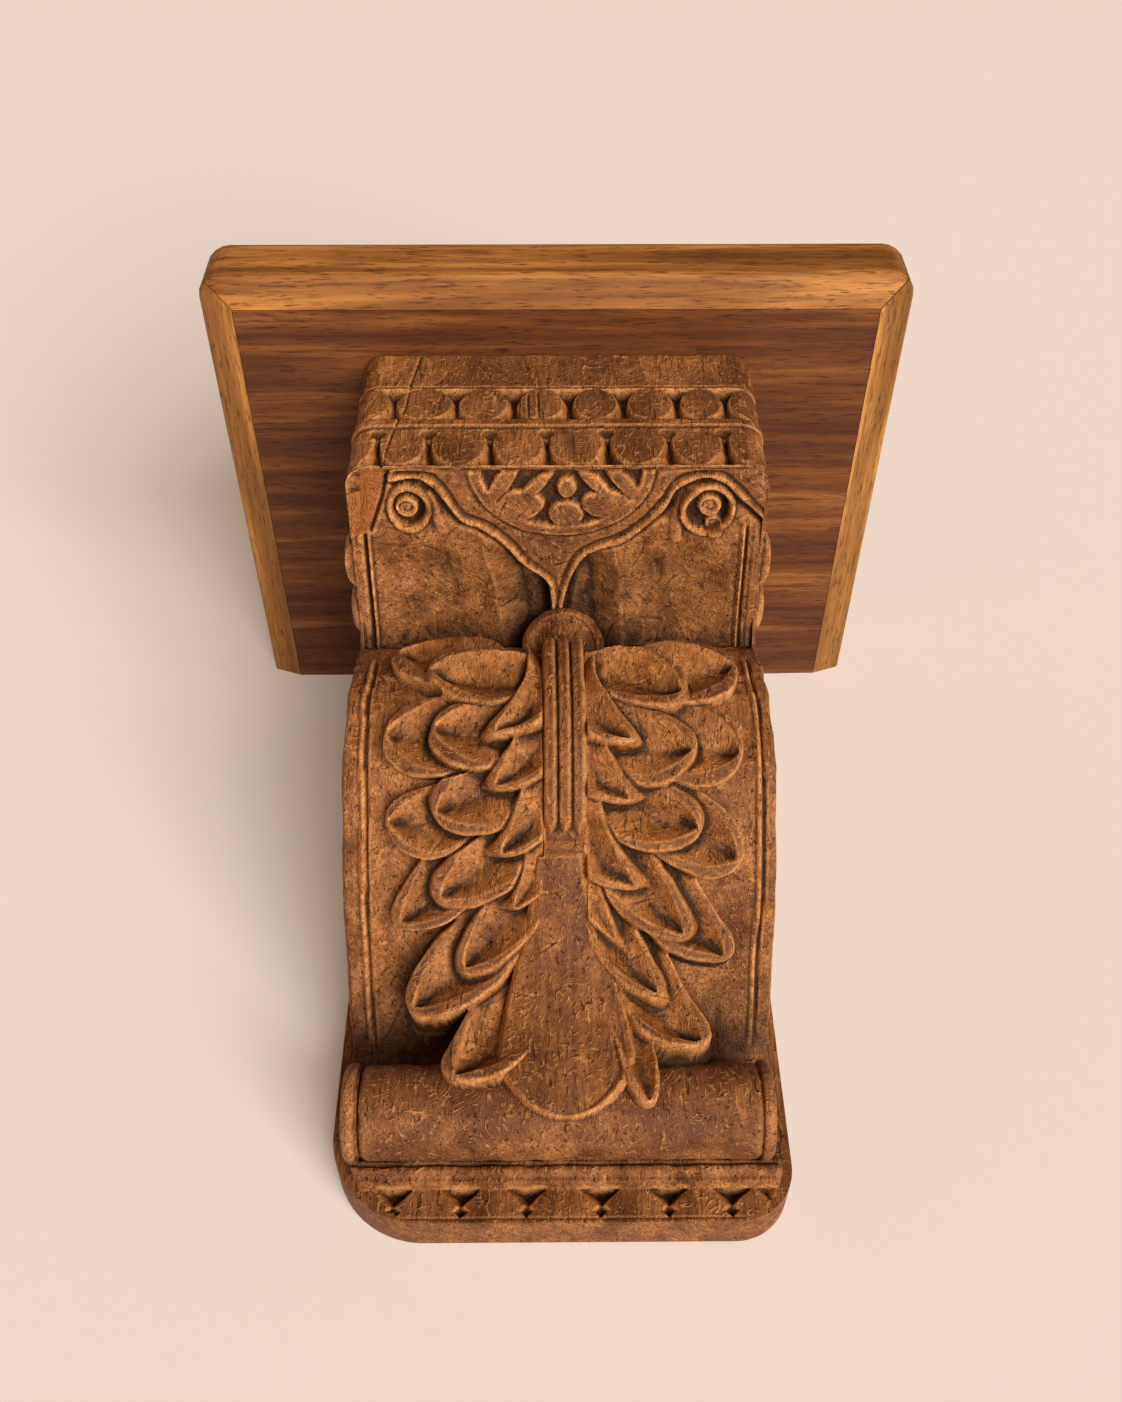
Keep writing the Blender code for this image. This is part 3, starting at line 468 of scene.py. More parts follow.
def corbel_wrap(line, front_cell, side_cells):
    """The corbel's skin between two heights, as a grid that wraps right round it.

    Each row is the plan of the corbel where its front stands at one point of `line`: from the
    middle of the back to the plate's edge, over the step to the body's side, along the side, round
    the front corner as a quarter of an ellipse, and across the front, then back the same way.
    Returns x, p and s, and for each column which stretch it belongs to: 0 back and plate, 1 side,
    2 corner, 3 front.
    """
    s, front = line[:, 0:1], line[:, 1:2]
    into = np.clip(front - BLOCK_FRONT + BLOCK_CORNER, 0, BLOCK_CORNER)
    corner_x = HALF_WIDTH - (BLOCK_CORNER - np.sqrt(BLOCK_CORNER ** 2 - into ** 2))
    corner_x = np.minimum(corner_x, HALF_WIDTH - 1.5)
    corner_p = np.maximum(np.minimum(front - 2.0, BLOCK_FRONT - BLOCK_CORNER), PLATE_THICK)
    front = np.maximum(front, corner_p)

    def shares(count):
        return np.linspace(0, 1, count + 1)[None, :count]

    one = np.ones_like(s)
    plate = np.minimum(PLATE_THICK, front)
    f = np.append(shares(8), [[0.94, 0.99]], axis=1)
    back = (-PLATE_HALF * f * one, 0 * f * one)
    f = np.array([[0.0, 0.05, 0.5, 0.95]])
    edge = (-PLATE_HALF * one + 0 * f, plate * f)
    step = (-PLATE_HALF * one + (PLATE_HALF - HALF_WIDTH) * f, plate + 0 * f)
    f = shares(side_cells) ** 0.75
    side = (-HALF_WIDTH * one + 0 * f, plate + (corner_p - plate) * f)
    f = shares(26 if front_cell < 0.8 else 8) * math.pi / 2
    corner = (-(HALF_WIDTH - (HALF_WIDTH - corner_x) * (1 - np.cos(f))),
              corner_p + (front - corner_p) * np.sin(f))
    f = np.linspace(0, 1, int(round(HALF_WIDTH / front_cell)) + 1)[None, :]
    face = (-corner_x * (1 - f), front + 0 * f)
    parts = (back, edge, step, side, corner, face)
    kinds = np.repeat([0, 0, 0, 1, 2, 3], [part[0].shape[1] for part in parts])
    x, p = (np.concatenate([part[k] for part in parts], axis=1) for k in (0, 1))
    x = np.concatenate([x, -x[:, -2:0:-1]], axis=1)
    p = np.concatenate([p, p[:, -2:0:-1]], axis=1)
    kinds = np.concatenate([kinds, kinds[-2:0:-1]])
    left = foot_half(s, LEFT_FOOT_RADIUS) / PLATE_HALF
    right = foot_half(s, RIGHT_FOOT_RADIUS) / PLATE_HALF
    x = x * np.where(x < 0, left, right)
    return x, p, np.broadcast_to(s, x.shape).copy(), kinds


def foot_half(s, radius):
    """Half the plate's width at a drop, drawn in by the round of its lower corner."""
    into = np.clip(s - (HEIGHT - radius), 0, radius)
    return PLATE_HALF - (radius - np.sqrt(radius ** 2 - into ** 2))


def girth(x, p):
    """Distance round a row from the middle of the front, negative to the left."""
    steps = np.hypot(np.diff(x, axis=1), np.diff(p, axis=1))
    along = np.concatenate([np.zeros((len(x), 1)), np.cumsum(steps, axis=1)], axis=1)
    middle = np.argmin(np.abs(x) + 1e3 * (p < p.max(axis=1, keepdims=True) - 1e-6), axis=1)
    return along - along[np.arange(len(x)), middle][:, None]


def front_relief(u, s):
    """Depth of the carving on the block's front: u round the block, s down.

    Between two fillets stand round discs, and the ground between them is cut as a V to the
    nearest edge. Below them the same V is cut between long ovals, with a round dish over each
    cut. Depth is the smallest of the slopes from each edge. Also returns the old skin's share.
    """
    wobble = 0.5 * uneven(u, s, 7.0, 3) + 0.25 * uneven(u, s, 2.4, 4)
    disc = np.min([oval_gap(u, s, x, DISC_ROW, half - 0.9, 10.6) * np.where(u > x, 0.95, 1.9)
                   for x, half in ROUNDELS], axis=0) + wobble
    cut = np.clip(np.minimum(np.minimum(disc, 1.6 * (s - 26.4)), 1.6 * (48.2 - s)), 0, None)
    depth = np.minimum(1.9 * cut, 5.0)
    middles = [DARTS[0] - 21.0] + DARTS + [DARTS[-1] + 22.0]
    ovals = [((a + b) / 2, (b - a) / 2 - 1.6) for a, b in zip(middles[:-1], middles[1:])]
    oval = np.min([oval_gap(u, s, x, OVAL_ROW, half, 15.4) * np.where(u > x, 0.8, 1.9)
                   for x, half in ovals], axis=0) + wobble
    cut = np.clip(np.minimum(np.minimum(oval, 1.5 * (78.8 - s)), s - 59.5), 0, None)
    depth = np.maximum(depth, np.minimum(2.2 * cut, 6.0))
    for x in DARTS:
        dish = np.hypot(u - x, s - DISH_ROW)
        depth = np.maximum(depth, 2.4 * np.sqrt(np.clip(1 - (dish / 3.3) ** 2, 0, None)))
    relief = -depth
    relief += 0.6 * (ramp(48.2, 48.9, s) - ramp(52.4, 53.1, s))
    relief -= bead(s - 53.7, 1.6, 0.9) + bead(s - 25.2, 1.3, 0.7) + bead(s - 80.2, 1.6, 0.6)
    relief *= ramp(93.5, 90.5, np.abs(u))
    return relief, ramp(0.6, 0.1, depth) * ramp(-70.0, -66.0, u + 0.13 * (s - 40.0))


def under_relief(x, p):
    """Relief of the face below the block, towards the floor: x across, p out from the wall.

    A narrow moulding runs from the collar out to a scroll in each upper corner, with a groove
    under it. Below it each field falls off from a soft ridge, steeply towards the collar and
    gently towards the side. Above it lies a half round medallion: a flat rim, a sunk ground and
    petals. Also returns the old skin's share and a darkening of the fields: painted shade beside
    the collar and along the neck, darker just to the right of the right-hand ridge, and a few
    random darker patches outside the ridges.
    """
    right, left = smooth_line(MOULDING_RIGHT, 2.0), smooth_line(MOULDING_LEFT, 2.0)
    edge = np.where(x > 0, np.interp(x, right[:, 0], right[:, 1]),
                    np.interp(x, left[::-1, 0], left[::-1, 1], left=196.0))
    wobble = 0.45 * uneven(x, p, 8.0, 5)
    gap = np.minimum(line_gap(x, p, right), line_gap(x, p, left)) + wobble
    below = p < edge
    field = np.where(below, ramp(0.9, 1.8, gap), 0.0)
    ridge = np.where(x > 0, 25.5 - 0.06 * (p - 130), -27.5 - 0.14 * (p - 142))
    ridge += 1.2 * uneven(p, p, 9.0, 7)
    inward = np.abs(ridge) - np.abs(x)
    sink = 1.6 + 2.4 * np.exp(-((gap - 2.4) / 1.5) ** 2)
    fall = 0.55 * np.clip(inward, 0, 12) + 0.24 * np.clip(-inward, 0, 16)
    fall -= 0.006 * np.clip(-inward - 16, 0, 30) ** 2
    sink += (fall + 0.4) * ramp(166.0, 146.0, p)
    sink += 3.0 * ramp(128.0, 115.0, p)
    relief = -field * sink
    relief += bead(gap, 2.0, 1.4, 6)
    above = np.where(below, 0.0, ramp(1.2, 2.0, gap))
    relief -= above * (1.3 * np.exp(-((gap - 1.8) / 1.2) ** 2) - 0.5 * bead(gap - 7.0, 7.0, 1.0))
    inside = -oval_gap(x, p, 1.4, 195.0, 36.2, 29.8) + 0.5 * wobble
    relief = relief * ramp(-0.4, -2.4, inside) + 1.1 * ramp(-0.7, 0.1, inside)
    well = ramp(3.4, 4.6, inside)
    petals = [oval_gap(x, p, 3.2, 174.2, 6.4, 5.6), oval_gap(x, p, -15.0, 178.6, 9.0, 6.6),
              oval_gap(x, p, 19.5, 179.0, 9.6, 6.0), oval_gap(x, p, 3.4, 186.6, 3.4, 4.6)]
    for centre, half, tilt in (((-21.5, 188.4), (10.5, 3.2), 0.95), ((27.0, 187.0), (10.5, 3.2), -0.85),
                               ((-8.0, 188.0), (8.0, 2.4), 0.75), ((14.6, 188.0), (8.0, 2.4), -0.75)):
        dx, dp = x - centre[0], p - centre[1]
        petals.append(oval_gap(dx * math.cos(tilt) + dp * math.sin(tilt),
                               dp * math.cos(tilt) - dx * math.sin(tilt), 0.0, 0.0, *half))
    petal = np.min(petals, axis=0) + wobble + 0.2 * uneven(x, p, 2.2, 8)
    relief -= well * (3.2 * ramp(-0.5, 1.1, petal) + 0.4)
    relief += well * 0.5 * ramp(0.0, -4.0, petal)
    for centre, half, eye in (((-59.2, 176.8), (7.8, 9.6), (-60.1, 176.8)),
                              ((59.6, 175.8), (10.2, 10.6), (60.4, 177.0))):
        ring = oval_gap(x, p, *centre, *half) + 0.5 * wobble
        bowl = ramp(1.8, 0.4, ring)
        relief = relief * (1 - bowl) - 0.6 * bowl
        relief -= 4.6 * ramp(-0.6, -2.4, ring)
        relief += bead(ring + 0.2, 2.6, 1.9, 6)
        far = np.hypot(x - eye[0], p - eye[1]) + 0.4 * wobble
        turn = np.arctan2(p - eye[1], x - eye[0])
        relief += 4.4 * ramp(5.2, 4.2, far) - bead(far - 2.0 - 0.34 * turn, 1.3, 0.9) * (far < 4.4)
    for stalk, width, height in (([(54.0, 185), (49.4, 177), (47.4, 170), (47.6, 162)], 5.6, 1.5),
                                 ([(-51.0, 182), (-49.0, 174), (-46.0, 166)], 5.0, 1.2)):
        relief += bead(line_gap(x, p, smooth_line(stalk, 2.0)), width, height)
    spot = np.hypot(x - 62.5, p - 168.6)
    relief += 3.4 * ramp(3.8, 3.0, spot) - bead(spot - 1.9, 0.9, 0.4)
    for middle, outer in ((-76.4, -77.9), (75.0, 76.6)):
        relief += (bead(x - middle, 1.8, 1.5) - bead(x - outer, 1.6, 1.6)) * ramp(171, 163, p)
    relief += 0.8 * ramp(78.8, 80.0, np.abs(x)) * ramp(173, 160, p)
    skin = 1.0 - 0.8 * field - 0.5 * well * ramp(0.4, 1.0, petal)
    outside = ramp(0.0, 4.0, -inward)
    # Painted shade in the fields below the moulding: dark beside the collar and along the neck, where
    # the collar and body shade them. Also darker just to the right of the right-hand ridge, and a few
    # random darker patches outside the ridges.
    painted_shade = field * (0.8 * ramp(36.0, 9.0, np.abs(x)) * ramp(168.0, 124.0, p)
                    + 0.45 * ramp(124.0, 114.0, p)
                    + 0.12 * ramp(-0.2, 0.5, uneven(x, p, 16.0, 61)) * outside
                    + 0.25 * (x > 0) * outside * ramp(30.0, 8.0, -inward) * ramp(158.0, 140.0, p))
    return relief, np.clip(skin, 0, 1), painted_shade


def chip_cut(x, p):
    """The broken corner: the break's depth, deep at the outer edge and shallow at its inner one,
    and where it lies. It narrows towards the wall."""
    inner = -67.5 - 0.32 * (191.5 - p)
    inside = ramp(0.0, 0.8, inner - x) * ramp(163.5, 164.5, p + 0.3 * (x + 77)) * ramp(193.6, 192.4, p)
    return inside * (1.2 + 0.30 * np.clip(inner - x, 0, 14)), inside


def side_lobes(p, s, relief):
    """The sides' relief with two lobes at the neck: 3.9 mm times (1 - gap^4)^0.6, where gap is the
    distance from a lobe's middle as a share of its half size."""
    for middle in (149.0, 122.5):
        gap = np.hypot((p - middle) / 12.2, (s - 80.0) / 10.0)
        relief = np.maximum(relief, 3.9 * np.clip(1 - gap ** 4, 0, None) ** 0.6)
    return relief


def carved_piece(name, line, front_cell, side_cells, relief_of, material, cells, plug=(3.0, 0.0)):
    """One part of the corbel's wrap with its relief pushed out along the surface."""
    x, p, s, kinds = corbel_wrap(line, front_cell, side_cells)
    base = place(x, p, s) / MM
    out = square_to(base, wrapped=True)
    side = np.argmax(kinds == 1)
    if out[len(out) // 2, side + 2, 0] > 0:
        out = -out
    relief, skin, fresh, painted_shade = relief_of(x, p, s, kinds)
    skin = np.where(kinds < 2, 0.45 + 0.3 * uneven(p + x, s, 24.0, 19), skin)
    points = (base + out * relief[..., None]) * MM
    fields = wear_fields(relief, cells, skin, fresh)
    # Painted shade from the relief function is added to the grime and painted shade of the hollows
    fields["grime_and_shade"] = np.clip(fields["grime_and_shade"] + painted_shade, 0, 1)
    fields["sawn"] = (kinds < 2) * ramp(0.5, 0.3, fields["fresh"]) * (np.abs(relief) <= 1.0)
    add_piece(name, capped_tube(points, fields, np.array(plug) * MM), material)


def block_all(x, p, s, kinds):
    """Relief of the block: carving round its front, plain sides, fine tool marks."""
    u = girth(x, p)
    relief, skin = front_relief(u, s)
    relief = relief + 0.22 * uneven(u, s, 5.0, 11) + 0.12 * uneven(u, s, 2.2, 12)
    relief += tool_marks(u, s, 21, 110, (-100, 100, 2, 80)) * (kinds > 1)
    for crack in ([(-58, 2), (-61, 22), (-62, 40), (-66, 56), (-69, 80)], [(-8, 28), (-7.4, 46)],
                  [(-12.0, 30), (-11.7, 46)], [(-15.5, 30), (-15.6, 46)]):
        relief -= bead(line_gap(u, s, crack), 1.3, 1.0)
    relief -= 1.2 * ramp(1.2, 0.0, s)
    relief -= 0.8 * ramp(78.6, 80.6, s) * (0.5 + uneven(u, s, 5.0, 17))
    plain = 0.2 * uneven(p, s, 9.0, 29) * ramp(0, 4, s) * ramp(80, 76, s)
    on_side = relief * ramp(99.0, 93.0, np.abs(u)) + plain + side_lobes(p, s, 0.0)
    relief = np.where(kinds == 1, on_side, relief)
    return relief * (kinds > 0), skin * (0.75 + 0.25 * uneven(u, s, 20.0, 18)), 0.0, 0.0


def under_all(x, p, s, kinds):
    """Relief of the face below the block, with its broken corner."""
    front = p.max(axis=1, keepdims=True) + np.zeros_like(p)
    relief, skin, painted_shade = under_relief(x, front)
    relief = np.where(kinds == 3, relief, 0.0) * ramp(194.1, 193.0, front)
    broken, fresh = chip_cut(x, front)
    relief = relief * (1 - fresh) - broken
    rough = 0.3 * uneven(x, front, 6.0, 13) + 0.2 * uneven(x, front, 2.4, 14)
    relief += rough * (1 - 0.6 * fresh)
    relief += tool_marks(x, front, 22, 150, (-82, 82, 114, 192)) * (1 - fresh)
    crack = [(-67.4, 191), (-69.5, 182), (-72.0, 175), (-75.5, 166)]
    relief -= bead(line_gap(x, front, crack), 2.0, 2.4)
    relief = relief * (kinds >= 2) + side_lobes(p, s, 0.0) * (kinds == 1)
    fresh = fresh * (kinds >= 1) * ramp(7.0, 3.0, front - p)
    # The painted shade stays off the break and off the sides
    return relief, skin * (1 - fresh), fresh, painted_shade * (1 - fresh) * (kinds >= 2)


def body_all(x, p, s, kinds):
    """Relief of the body and foot: a bead with a groove along each edge of the front and of the
    sides, tool marks, and the row of small darts at the foot. A dart's depth is the smallest of the
    slopes from its two sides and its top; the stone under it is a pyramid sunk into the ground."""
    front = p.max(axis=1, keepdims=True) + np.zeros_like(p)
    span = ramp(106, 120, s) * ramp(236, 226, s)
    relief = np.zeros(x.shape)
    for middle, seed, width, height in ((-76.4, 4, 2.4, 1.3), (76.6, 6, 2.4, 1.3),
                                        (-74.6, 4, 1.8, -1.3), (78.4, 6, 1.8, -1.5)):
        relief += bead(x - middle + 0.8 * uneven(s, s, 18, seed), width, height) * span
    relief += 0.6 * uneven(x, s, 9.0, 15) + 0.25 * uneven(x, s, 3.0, 16)
    relief += tool_marks(x, s, 23, 150, (-80, 80, 100, 236))
    depth = np.zeros(x.shape)
    for middle in FOOT_DARTS:
        off = x - middle + 0.5 * uneven(x, s, 4.0, 9)
        reach = 7.8 * (1.0 - (s - 291.4) / 7.4)
        dart = np.minimum(np.minimum(0.62 * (reach + off), 1.15 * (reach - off)), 3.0 * (s - 291.2))
        stone = 3.0 - np.abs(off) - np.abs(s - 299.6)
        depth = np.maximum(depth, np.clip(np.minimum(1.35 * dart, 5.0), 0, None))
        depth = np.maximum(depth, np.clip(np.minimum(1.5 * stone, 3.0), 0, None))
    relief = np.where(s > 291.2, relief * 0.4 - depth, relief)
    relief -= bead(s - 302.4, 1.4, 0.5)
    beside = bead(front - p - 9.0, 3.2, 1.2) * ramp(22.0, 30.0, p)
    beside -= bead(front - p - 12.0, 2.6, 0.9) * ramp(24.0, 32.0, p)
    beside = side_lobes(p, s, beside) * (kinds == 1)
    relief = relief * ramp(303.9, 302.6, s) * (kinds >= 2) + beside
    # Painted shade on the front from 216 to 286 mm down: the pocket behind the roll and under the
    # leaf's tip
    painted_shade = 0.6 * ramp(216, 232, s) * ramp(286, 281, s) * (kinds >= 2)
    return relief, 0.35 + 0.3 * uneven(x, s, 24.0, 19), 0.0, painted_shade


# The leaf

leaf_line = smooth_line(LEAF_LINE, LINE_CELL)
leaf_along = np.arange(len(leaf_line)) * np.hypot(*np.diff(leaf_line, axis=0).T).mean()


def leaf_down(s):
    """Distance along the leaf's middle line at a drop."""
    return np.interp(s, leaf_line[:, 0], leaf_along)


def lobe_shape(x, t, lobe):
    """One lobe laid on the leaf: its height, its cover, and the share of old skin on it.

    a runs from the root to the tip and b from the upper edge to the lower. The outline is a
    superellipse about the outer half with a taper to the root. Inside it lies a pointed scoop:
    two facets that fall from the scoop's edges to a crease nearer the lower one. The band left
    round the scoop falls away to the outline. The lobe tilts like a tile so that its lower edge
    rides over the next one; the topmost ones tilt the other way, to be seen from below.
    """
    tip_x, tip_s, root_x, root_s, width, lift, sag = lobe
    tip, root = np.array([tip_x, leaf_down(tip_s)]), np.array([root_x, leaf_down(root_s)])
    way = tip - root
    length = math.hypot(*way)
    way = way / length
    low = np.array([-way[1], way[0]])
    low = low if low[1] > 0 else -low
    a = ((x - root[0]) * way[0] + (t - root[1]) * way[1]) / length
    b = (x - root[0]) * low[0] + (t - root[1]) * low[1] - sag * length * 4 * a * (1 - a)
    half = width * 0.57 * (0.68 + 0.32 * ramp(-0.3, 0.35, a))
    beyond = np.clip((a - 0.42) / 0.58, 0, None)
    round_off = (beyond ** 2.2 + (np.abs(b) / half) ** 2.2) ** (1 / 2.2)
    edge = (1 - round_off) * np.minimum(half, 0.58 * length)
    edge = np.minimum(edge, (a + 0.2) * length)
    opening = np.clip(1 - ((a - 0.24) / 0.69) ** 2, 0, None) ** 0.7
    upper_edge, lower_edge, crease = (share * half * opening for share in (-0.92, 0.82, 0.08))
    upper = (b - upper_edge) / np.maximum(crease - upper_edge, 0.3)
    lower = (lower_edge - b) / np.maximum(lower_edge - crease, 0.3)
    within = 1 - (1 - np.clip(np.minimum(upper, lower), 0, 1)) ** 1.5
    side = np.clip(b / half, -1, 1)
    tilt = 1.9 if tip_s > 150 else -1.6
    height = lift + tilt * side * ramp(0.0, 0.5, a) + 1.8 * np.sin(np.clip(a, 0, 1) * math.pi * 0.62)
    height -= np.minimum(0.32 * width, 7.0) * within * opening ** 0.4
    height -= 1.8 * ramp(1.8, 0.0, edge) ** 1.5 + 3.0 * ramp(0.2, -0.15, a)
    return height, ramp(-0.9, 0.7, edge), 1 - ramp(0.0, 0.12, within)


def leaf_surface(x, t):
    """The leaf's base: its middle line, falling by LEAF_SIDE_FALL at 70 mm to each side."""
    s = np.interp(t, leaf_along, leaf_line[:, 0])
    p = np.interp(t, leaf_along, leaf_line[:, 1]) - LEAF_SIDE_FALL * (x / 70.0) ** 2
    return place(x, p, s) / MM


def cut_out(name, x, t, height, cover, skin, material):
    """A carved sheet as a closed solid: the grid where it is covered, and a flat back under it.

    The front keeps each covered cell and its neighbours; points outside the cover lie at the
    back's own depth, so the front's border and the back's border are the same points.
    """
    base = leaf_surface(x, t)
    out = square_to(base, wrapped=False)
    if out[0, 0, 1] > 0:
        out = -out
    height = height * cover + LEAF_BACK * (1 - cover)
    rows, columns = x.shape
    quads = grid_quads(rows, columns)
    kept = quads[(cover.ravel()[quads] > 0.01).any(axis=1)]
    front = (base + out * height[..., None]).reshape(-1, 3) * MM
    back = (base + out * LEAF_BACK).reshape(-1, 3) * MM
    every = np.concatenate([front, back])
    used, faces = np.unique(np.concatenate([kept, kept[:, ::-1] + rows * columns]),
                            return_inverse=True)
    fields = wear_fields(np.maximum(height, blurred(height, 3) - 2.0), 3, skin)
    # Lighter edge wear with its painted highlight, stronger on the leaf, and none off the cover
    fields["wear_and_highlight"] = np.clip(fields["wear_and_highlight"] * 1.6, 0, 1) * cover
    # Painted shade: near black on the walls and gaps where the cover ends, and over the whole back
    fields["grime_and_shade"] = np.clip(fields["grime_and_shade"] + (1 - cover), 0, 1)
    fields["cut"] *= cover
    values = {key: np.append(field, np.full(len(front), key == "grime_and_shade", float))[used]
              for key, field in fields.items()}
    add_piece(name, (every[used], [faces.reshape(-1, 4)], values), material)


def leaf_side(name, sign, material):
    """The lobes on one side of the stem, laid one over another from the lowest up: each takes the
    place of what lies under it by the share of its cover."""
    across = np.arange(-78.0, 9.0, FACE_CELL) if sign < 0 else np.arange(-5.0, 82.0, FACE_CELL)
    down = np.arange(leaf_down(106.0), leaf_along[-1], FACE_CELL)
    x, t = np.meshgrid(across, down)
    warp_x = x + 0.6 * uneven(x, t, 8.0, 31)
    warp_t = t + 0.6 * uneven(x, t, 8.0, 32)
    bed = (ramp(0.0, 1.2, 20.0 - np.abs(x - 2)) * ramp(leaf_down(112), leaf_down(116), t)
           * ramp(leaf_down(236), leaf_down(226), t))
    height, cover, skin = LEAF_BACK * (1 - bed) - 3.5 * bed, bed, np.full(x.shape, 0.5)
    for lobe in LOBES:
        if lobe[0] * sign < 0:
            continue
        shape, inside, band = lobe_shape(warp_x, warp_t, lobe)
        inside = inside * ramp(7.4, 8.8, np.abs(x - 2.0))
        height = height * (1 - inside) + shape * inside
        skin = skin * (1 - inside) + band * inside
        cover = np.maximum(cover, inside)
    height += (0.3 * uneven(x, t, 4.0, 33) + 0.16 * uneven(x, t, 1.8, 34)) * cover
    region = (across[0], across[-1], down[0], down[-1])
    height += tool_marks(x, t, 24 + sign, 160, region) * (cover > 0.9)
    cut_out(name, x, t, height, cover, skin, material)


def stem_and_tongue(material):
    """The stem of three reeds and the smooth tongue that fans out below it, on one sheet.

    A reed falls off with the fourth power of the distance from its middle. The tongue is crowned
    by a parabola; its half width is read off a table and closed by a quarter ellipse at the tip.
    """
    down = np.arange(leaf_down(109.0), leaf_along[-1], FACE_CELL)
    x, t = np.meshgrid(np.arange(-31.0, 31.6, FACE_CELL), down)
    s = np.interp(t, leaf_along, leaf_line[:, 0])
    middle = 2.0 + 0.3 * uneven(s, s, 40, 41)
    off = x - middle
    reed = np.min([np.abs(off - place_x) for place_x in (-5.4, 0.0, 5.4)], axis=0)
    height = 4.8 - 3.0 * np.clip(reed / 2.7, 0, 1) ** 4
    stop = ramp(193.5, 190.0, s + 0.6 * reed)
    height = height * stop + 0.4 * (1 - stop)
    height = height - 5.5 * ramp(119.0, 108.0, s - 0.5 * reed)
    stem_in = ramp(0.4, -0.4, np.abs(off) - 8.6) * ramp(201.0, 199.0, s)
    height += bead(s - 197.0, 5.0, 1.6) * ramp(8.8, 7.6, np.abs(off))
    total = height * stem_in + LEAF_BACK * (1 - stem_in)
    cover = stem_in
    half = np.interp(s, [197, 204, 214, 225, 240, 250, 256],
                     [9.2, 10.6, 14.0, 19.0, 24.0, 26.2, 26.8])
    half = half * np.sqrt(np.clip(1 - np.clip((s - 256) / 26.0, 0, 1) ** 2, 1e-4, None))
    half = half + 0.8 * uneven(s, x * 0.2, 12, 42) * ramp(282, 270, s)
    edge = half - np.abs(x - 2.2 * ramp(205, 240, s))
    tongue = 3.6 - 3.4 * (x / 26.0) ** 2 - 2.6 * ramp(3.0, 0.0, edge)
    tongue += 1.5 * bead(edge - 2.6, 5.0, 1.0) * ramp(6.0, 12.0, x) * ramp(232.0, 246.0, s)
    tongue += 0.35 * uneven(x, t * 0.15, 2.4, 43) + 0.5 * uneven(x, t * 0.3, 9.0, 47)
    inside = ramp(-0.5, 0.5, edge) * ramp(197.0, 198.5, s)
    total = total * (1 - inside) + tongue * inside
    cover = np.maximum(cover, inside)
    total += (0.25 * uneven(x, t, 4.0, 44) + 0.12 * uneven(x, t, 1.8, 45)) * cover
    total += tool_marks(x, t, 25, 50, (-26, 26, 0, leaf_along[-1])) * (cover > 0.9)
    skin = 1.3 + 0.8 * uneven(x, t * 0.12, 4.0, 46) + 0.3 * uneven(x, t, 16.0, 46)
    cut_out("leaf_stem", x, t, total, cover, skin, material)


def turned_piece(name, profile, centre, axis, first, flatten, skin, material, turns=72):
    """A turned shape: profile (distance along the axis, radius) carried round the axis, with its
    radius a little uneven. `first` is the direction at the start of the turn, the direction square
    to it is flattened, and `skin` is the share of old skin."""
    along, radius = profile[:, 0:1], profile[:, 1:2]
    angle = np.linspace(0, 2 * math.pi, turns, endpoint=False)[None, :]
    axis, first = (np.array(way, float) / np.linalg.norm(way) for way in (axis, first))
    second = np.cross(axis, first)
    ripple = np.sin(angle) * uneven(along, 3.0 + 0 * along, 7.0, 52)
    rough = 0.3 * uneven(along + 0 * angle, 17.0 * np.abs(angle - math.pi), 5.0, 51) + 0.25 * ripple
    reach = radius + rough * np.clip(radius / 6.0, 0, 1)
    points = (np.array(centre, float) + along[..., None] * axis
              + (reach * np.cos(angle))[..., None] * first
              + (reach * np.sin(angle))[..., None] * second * flatten)
    fields = wear_fields(np.broadcast_to(reach, points.shape[:2]).copy(), 3, skin)
    fields["cut"] *= 0
    add_piece(name, capped_tube(points * MM, fields), material)


def corbel_surfaces(material):
    """All surfaces of the carved block, each the wrap along one stretch of its side outline. The
    foot's rows lie at the sines of even angles, so that they follow its round corners."""
    drops = np.concatenate([[0.0, 0.5, 1.0], np.arange(1.6, BLOCK_FOOT, FACE_CELL)])
    upright = np.stack([drops, np.full(drops.shape, BLOCK_FRONT)], axis=-1)
    arris = np.array([(79.6, 195.0), (80.1, 194.9), (80.45, 194.6), (80.6, 194.2)])
    carved_piece("corbel_block", np.concatenate([upright, arris]), FACE_CELL, 60, block_all,
                 material, 3, (-3.0, 12.0))
    carved_piece("corbel_underface", smooth_line(UNDER_LINE, LINE_CELL), FACE_CELL, 60, under_all,
                 material, 4, (14.0, 3.0))
    body = smooth_line(BODY_LINE, BODY_CELL)
    lower = np.array([(s, 18.5) for s in np.arange(238, 281.5, 2.2)])
    step = np.array([
        (281.6, 18.5), (282.0, 23.2), (282.4, 24.0), (283.4, 24.0), (283.8, 22.6), (284.3, 22.4),
        (284.8, 24.0), (285.4, 24.4), (286.6, 24.4), (287.4, 23.9), (287.9, 22.2), (288.4, 21.8),
        (289.4, 22.0), (290.0, 21.9), (290.6, 21.0), (291.0, 18.6)])
    round_from = HEIGHT - LEFT_FOOT_RADIUS
    angles = np.linspace(math.asin((291.6 - round_from) / LEFT_FOOT_RADIUS), math.pi / 2, 44)
    foot = np.stack([round_from + LEFT_FOOT_RADIUS * np.sin(angles),
                     np.full(angles.shape, 18.2)], axis=-1)
    line = np.concatenate([body, lower, step, foot])
    carved_piece("corbel_body", line, BODY_CELL, 34, body_all, material, 3)


carved_wood = carved_hardwood()
corbel_surfaces(carved_wood)
leaf_side("leaf_left", -1, carved_wood)
leaf_side("leaf_right", 1, carved_wood)
stem_and_tongue(carved_wood)

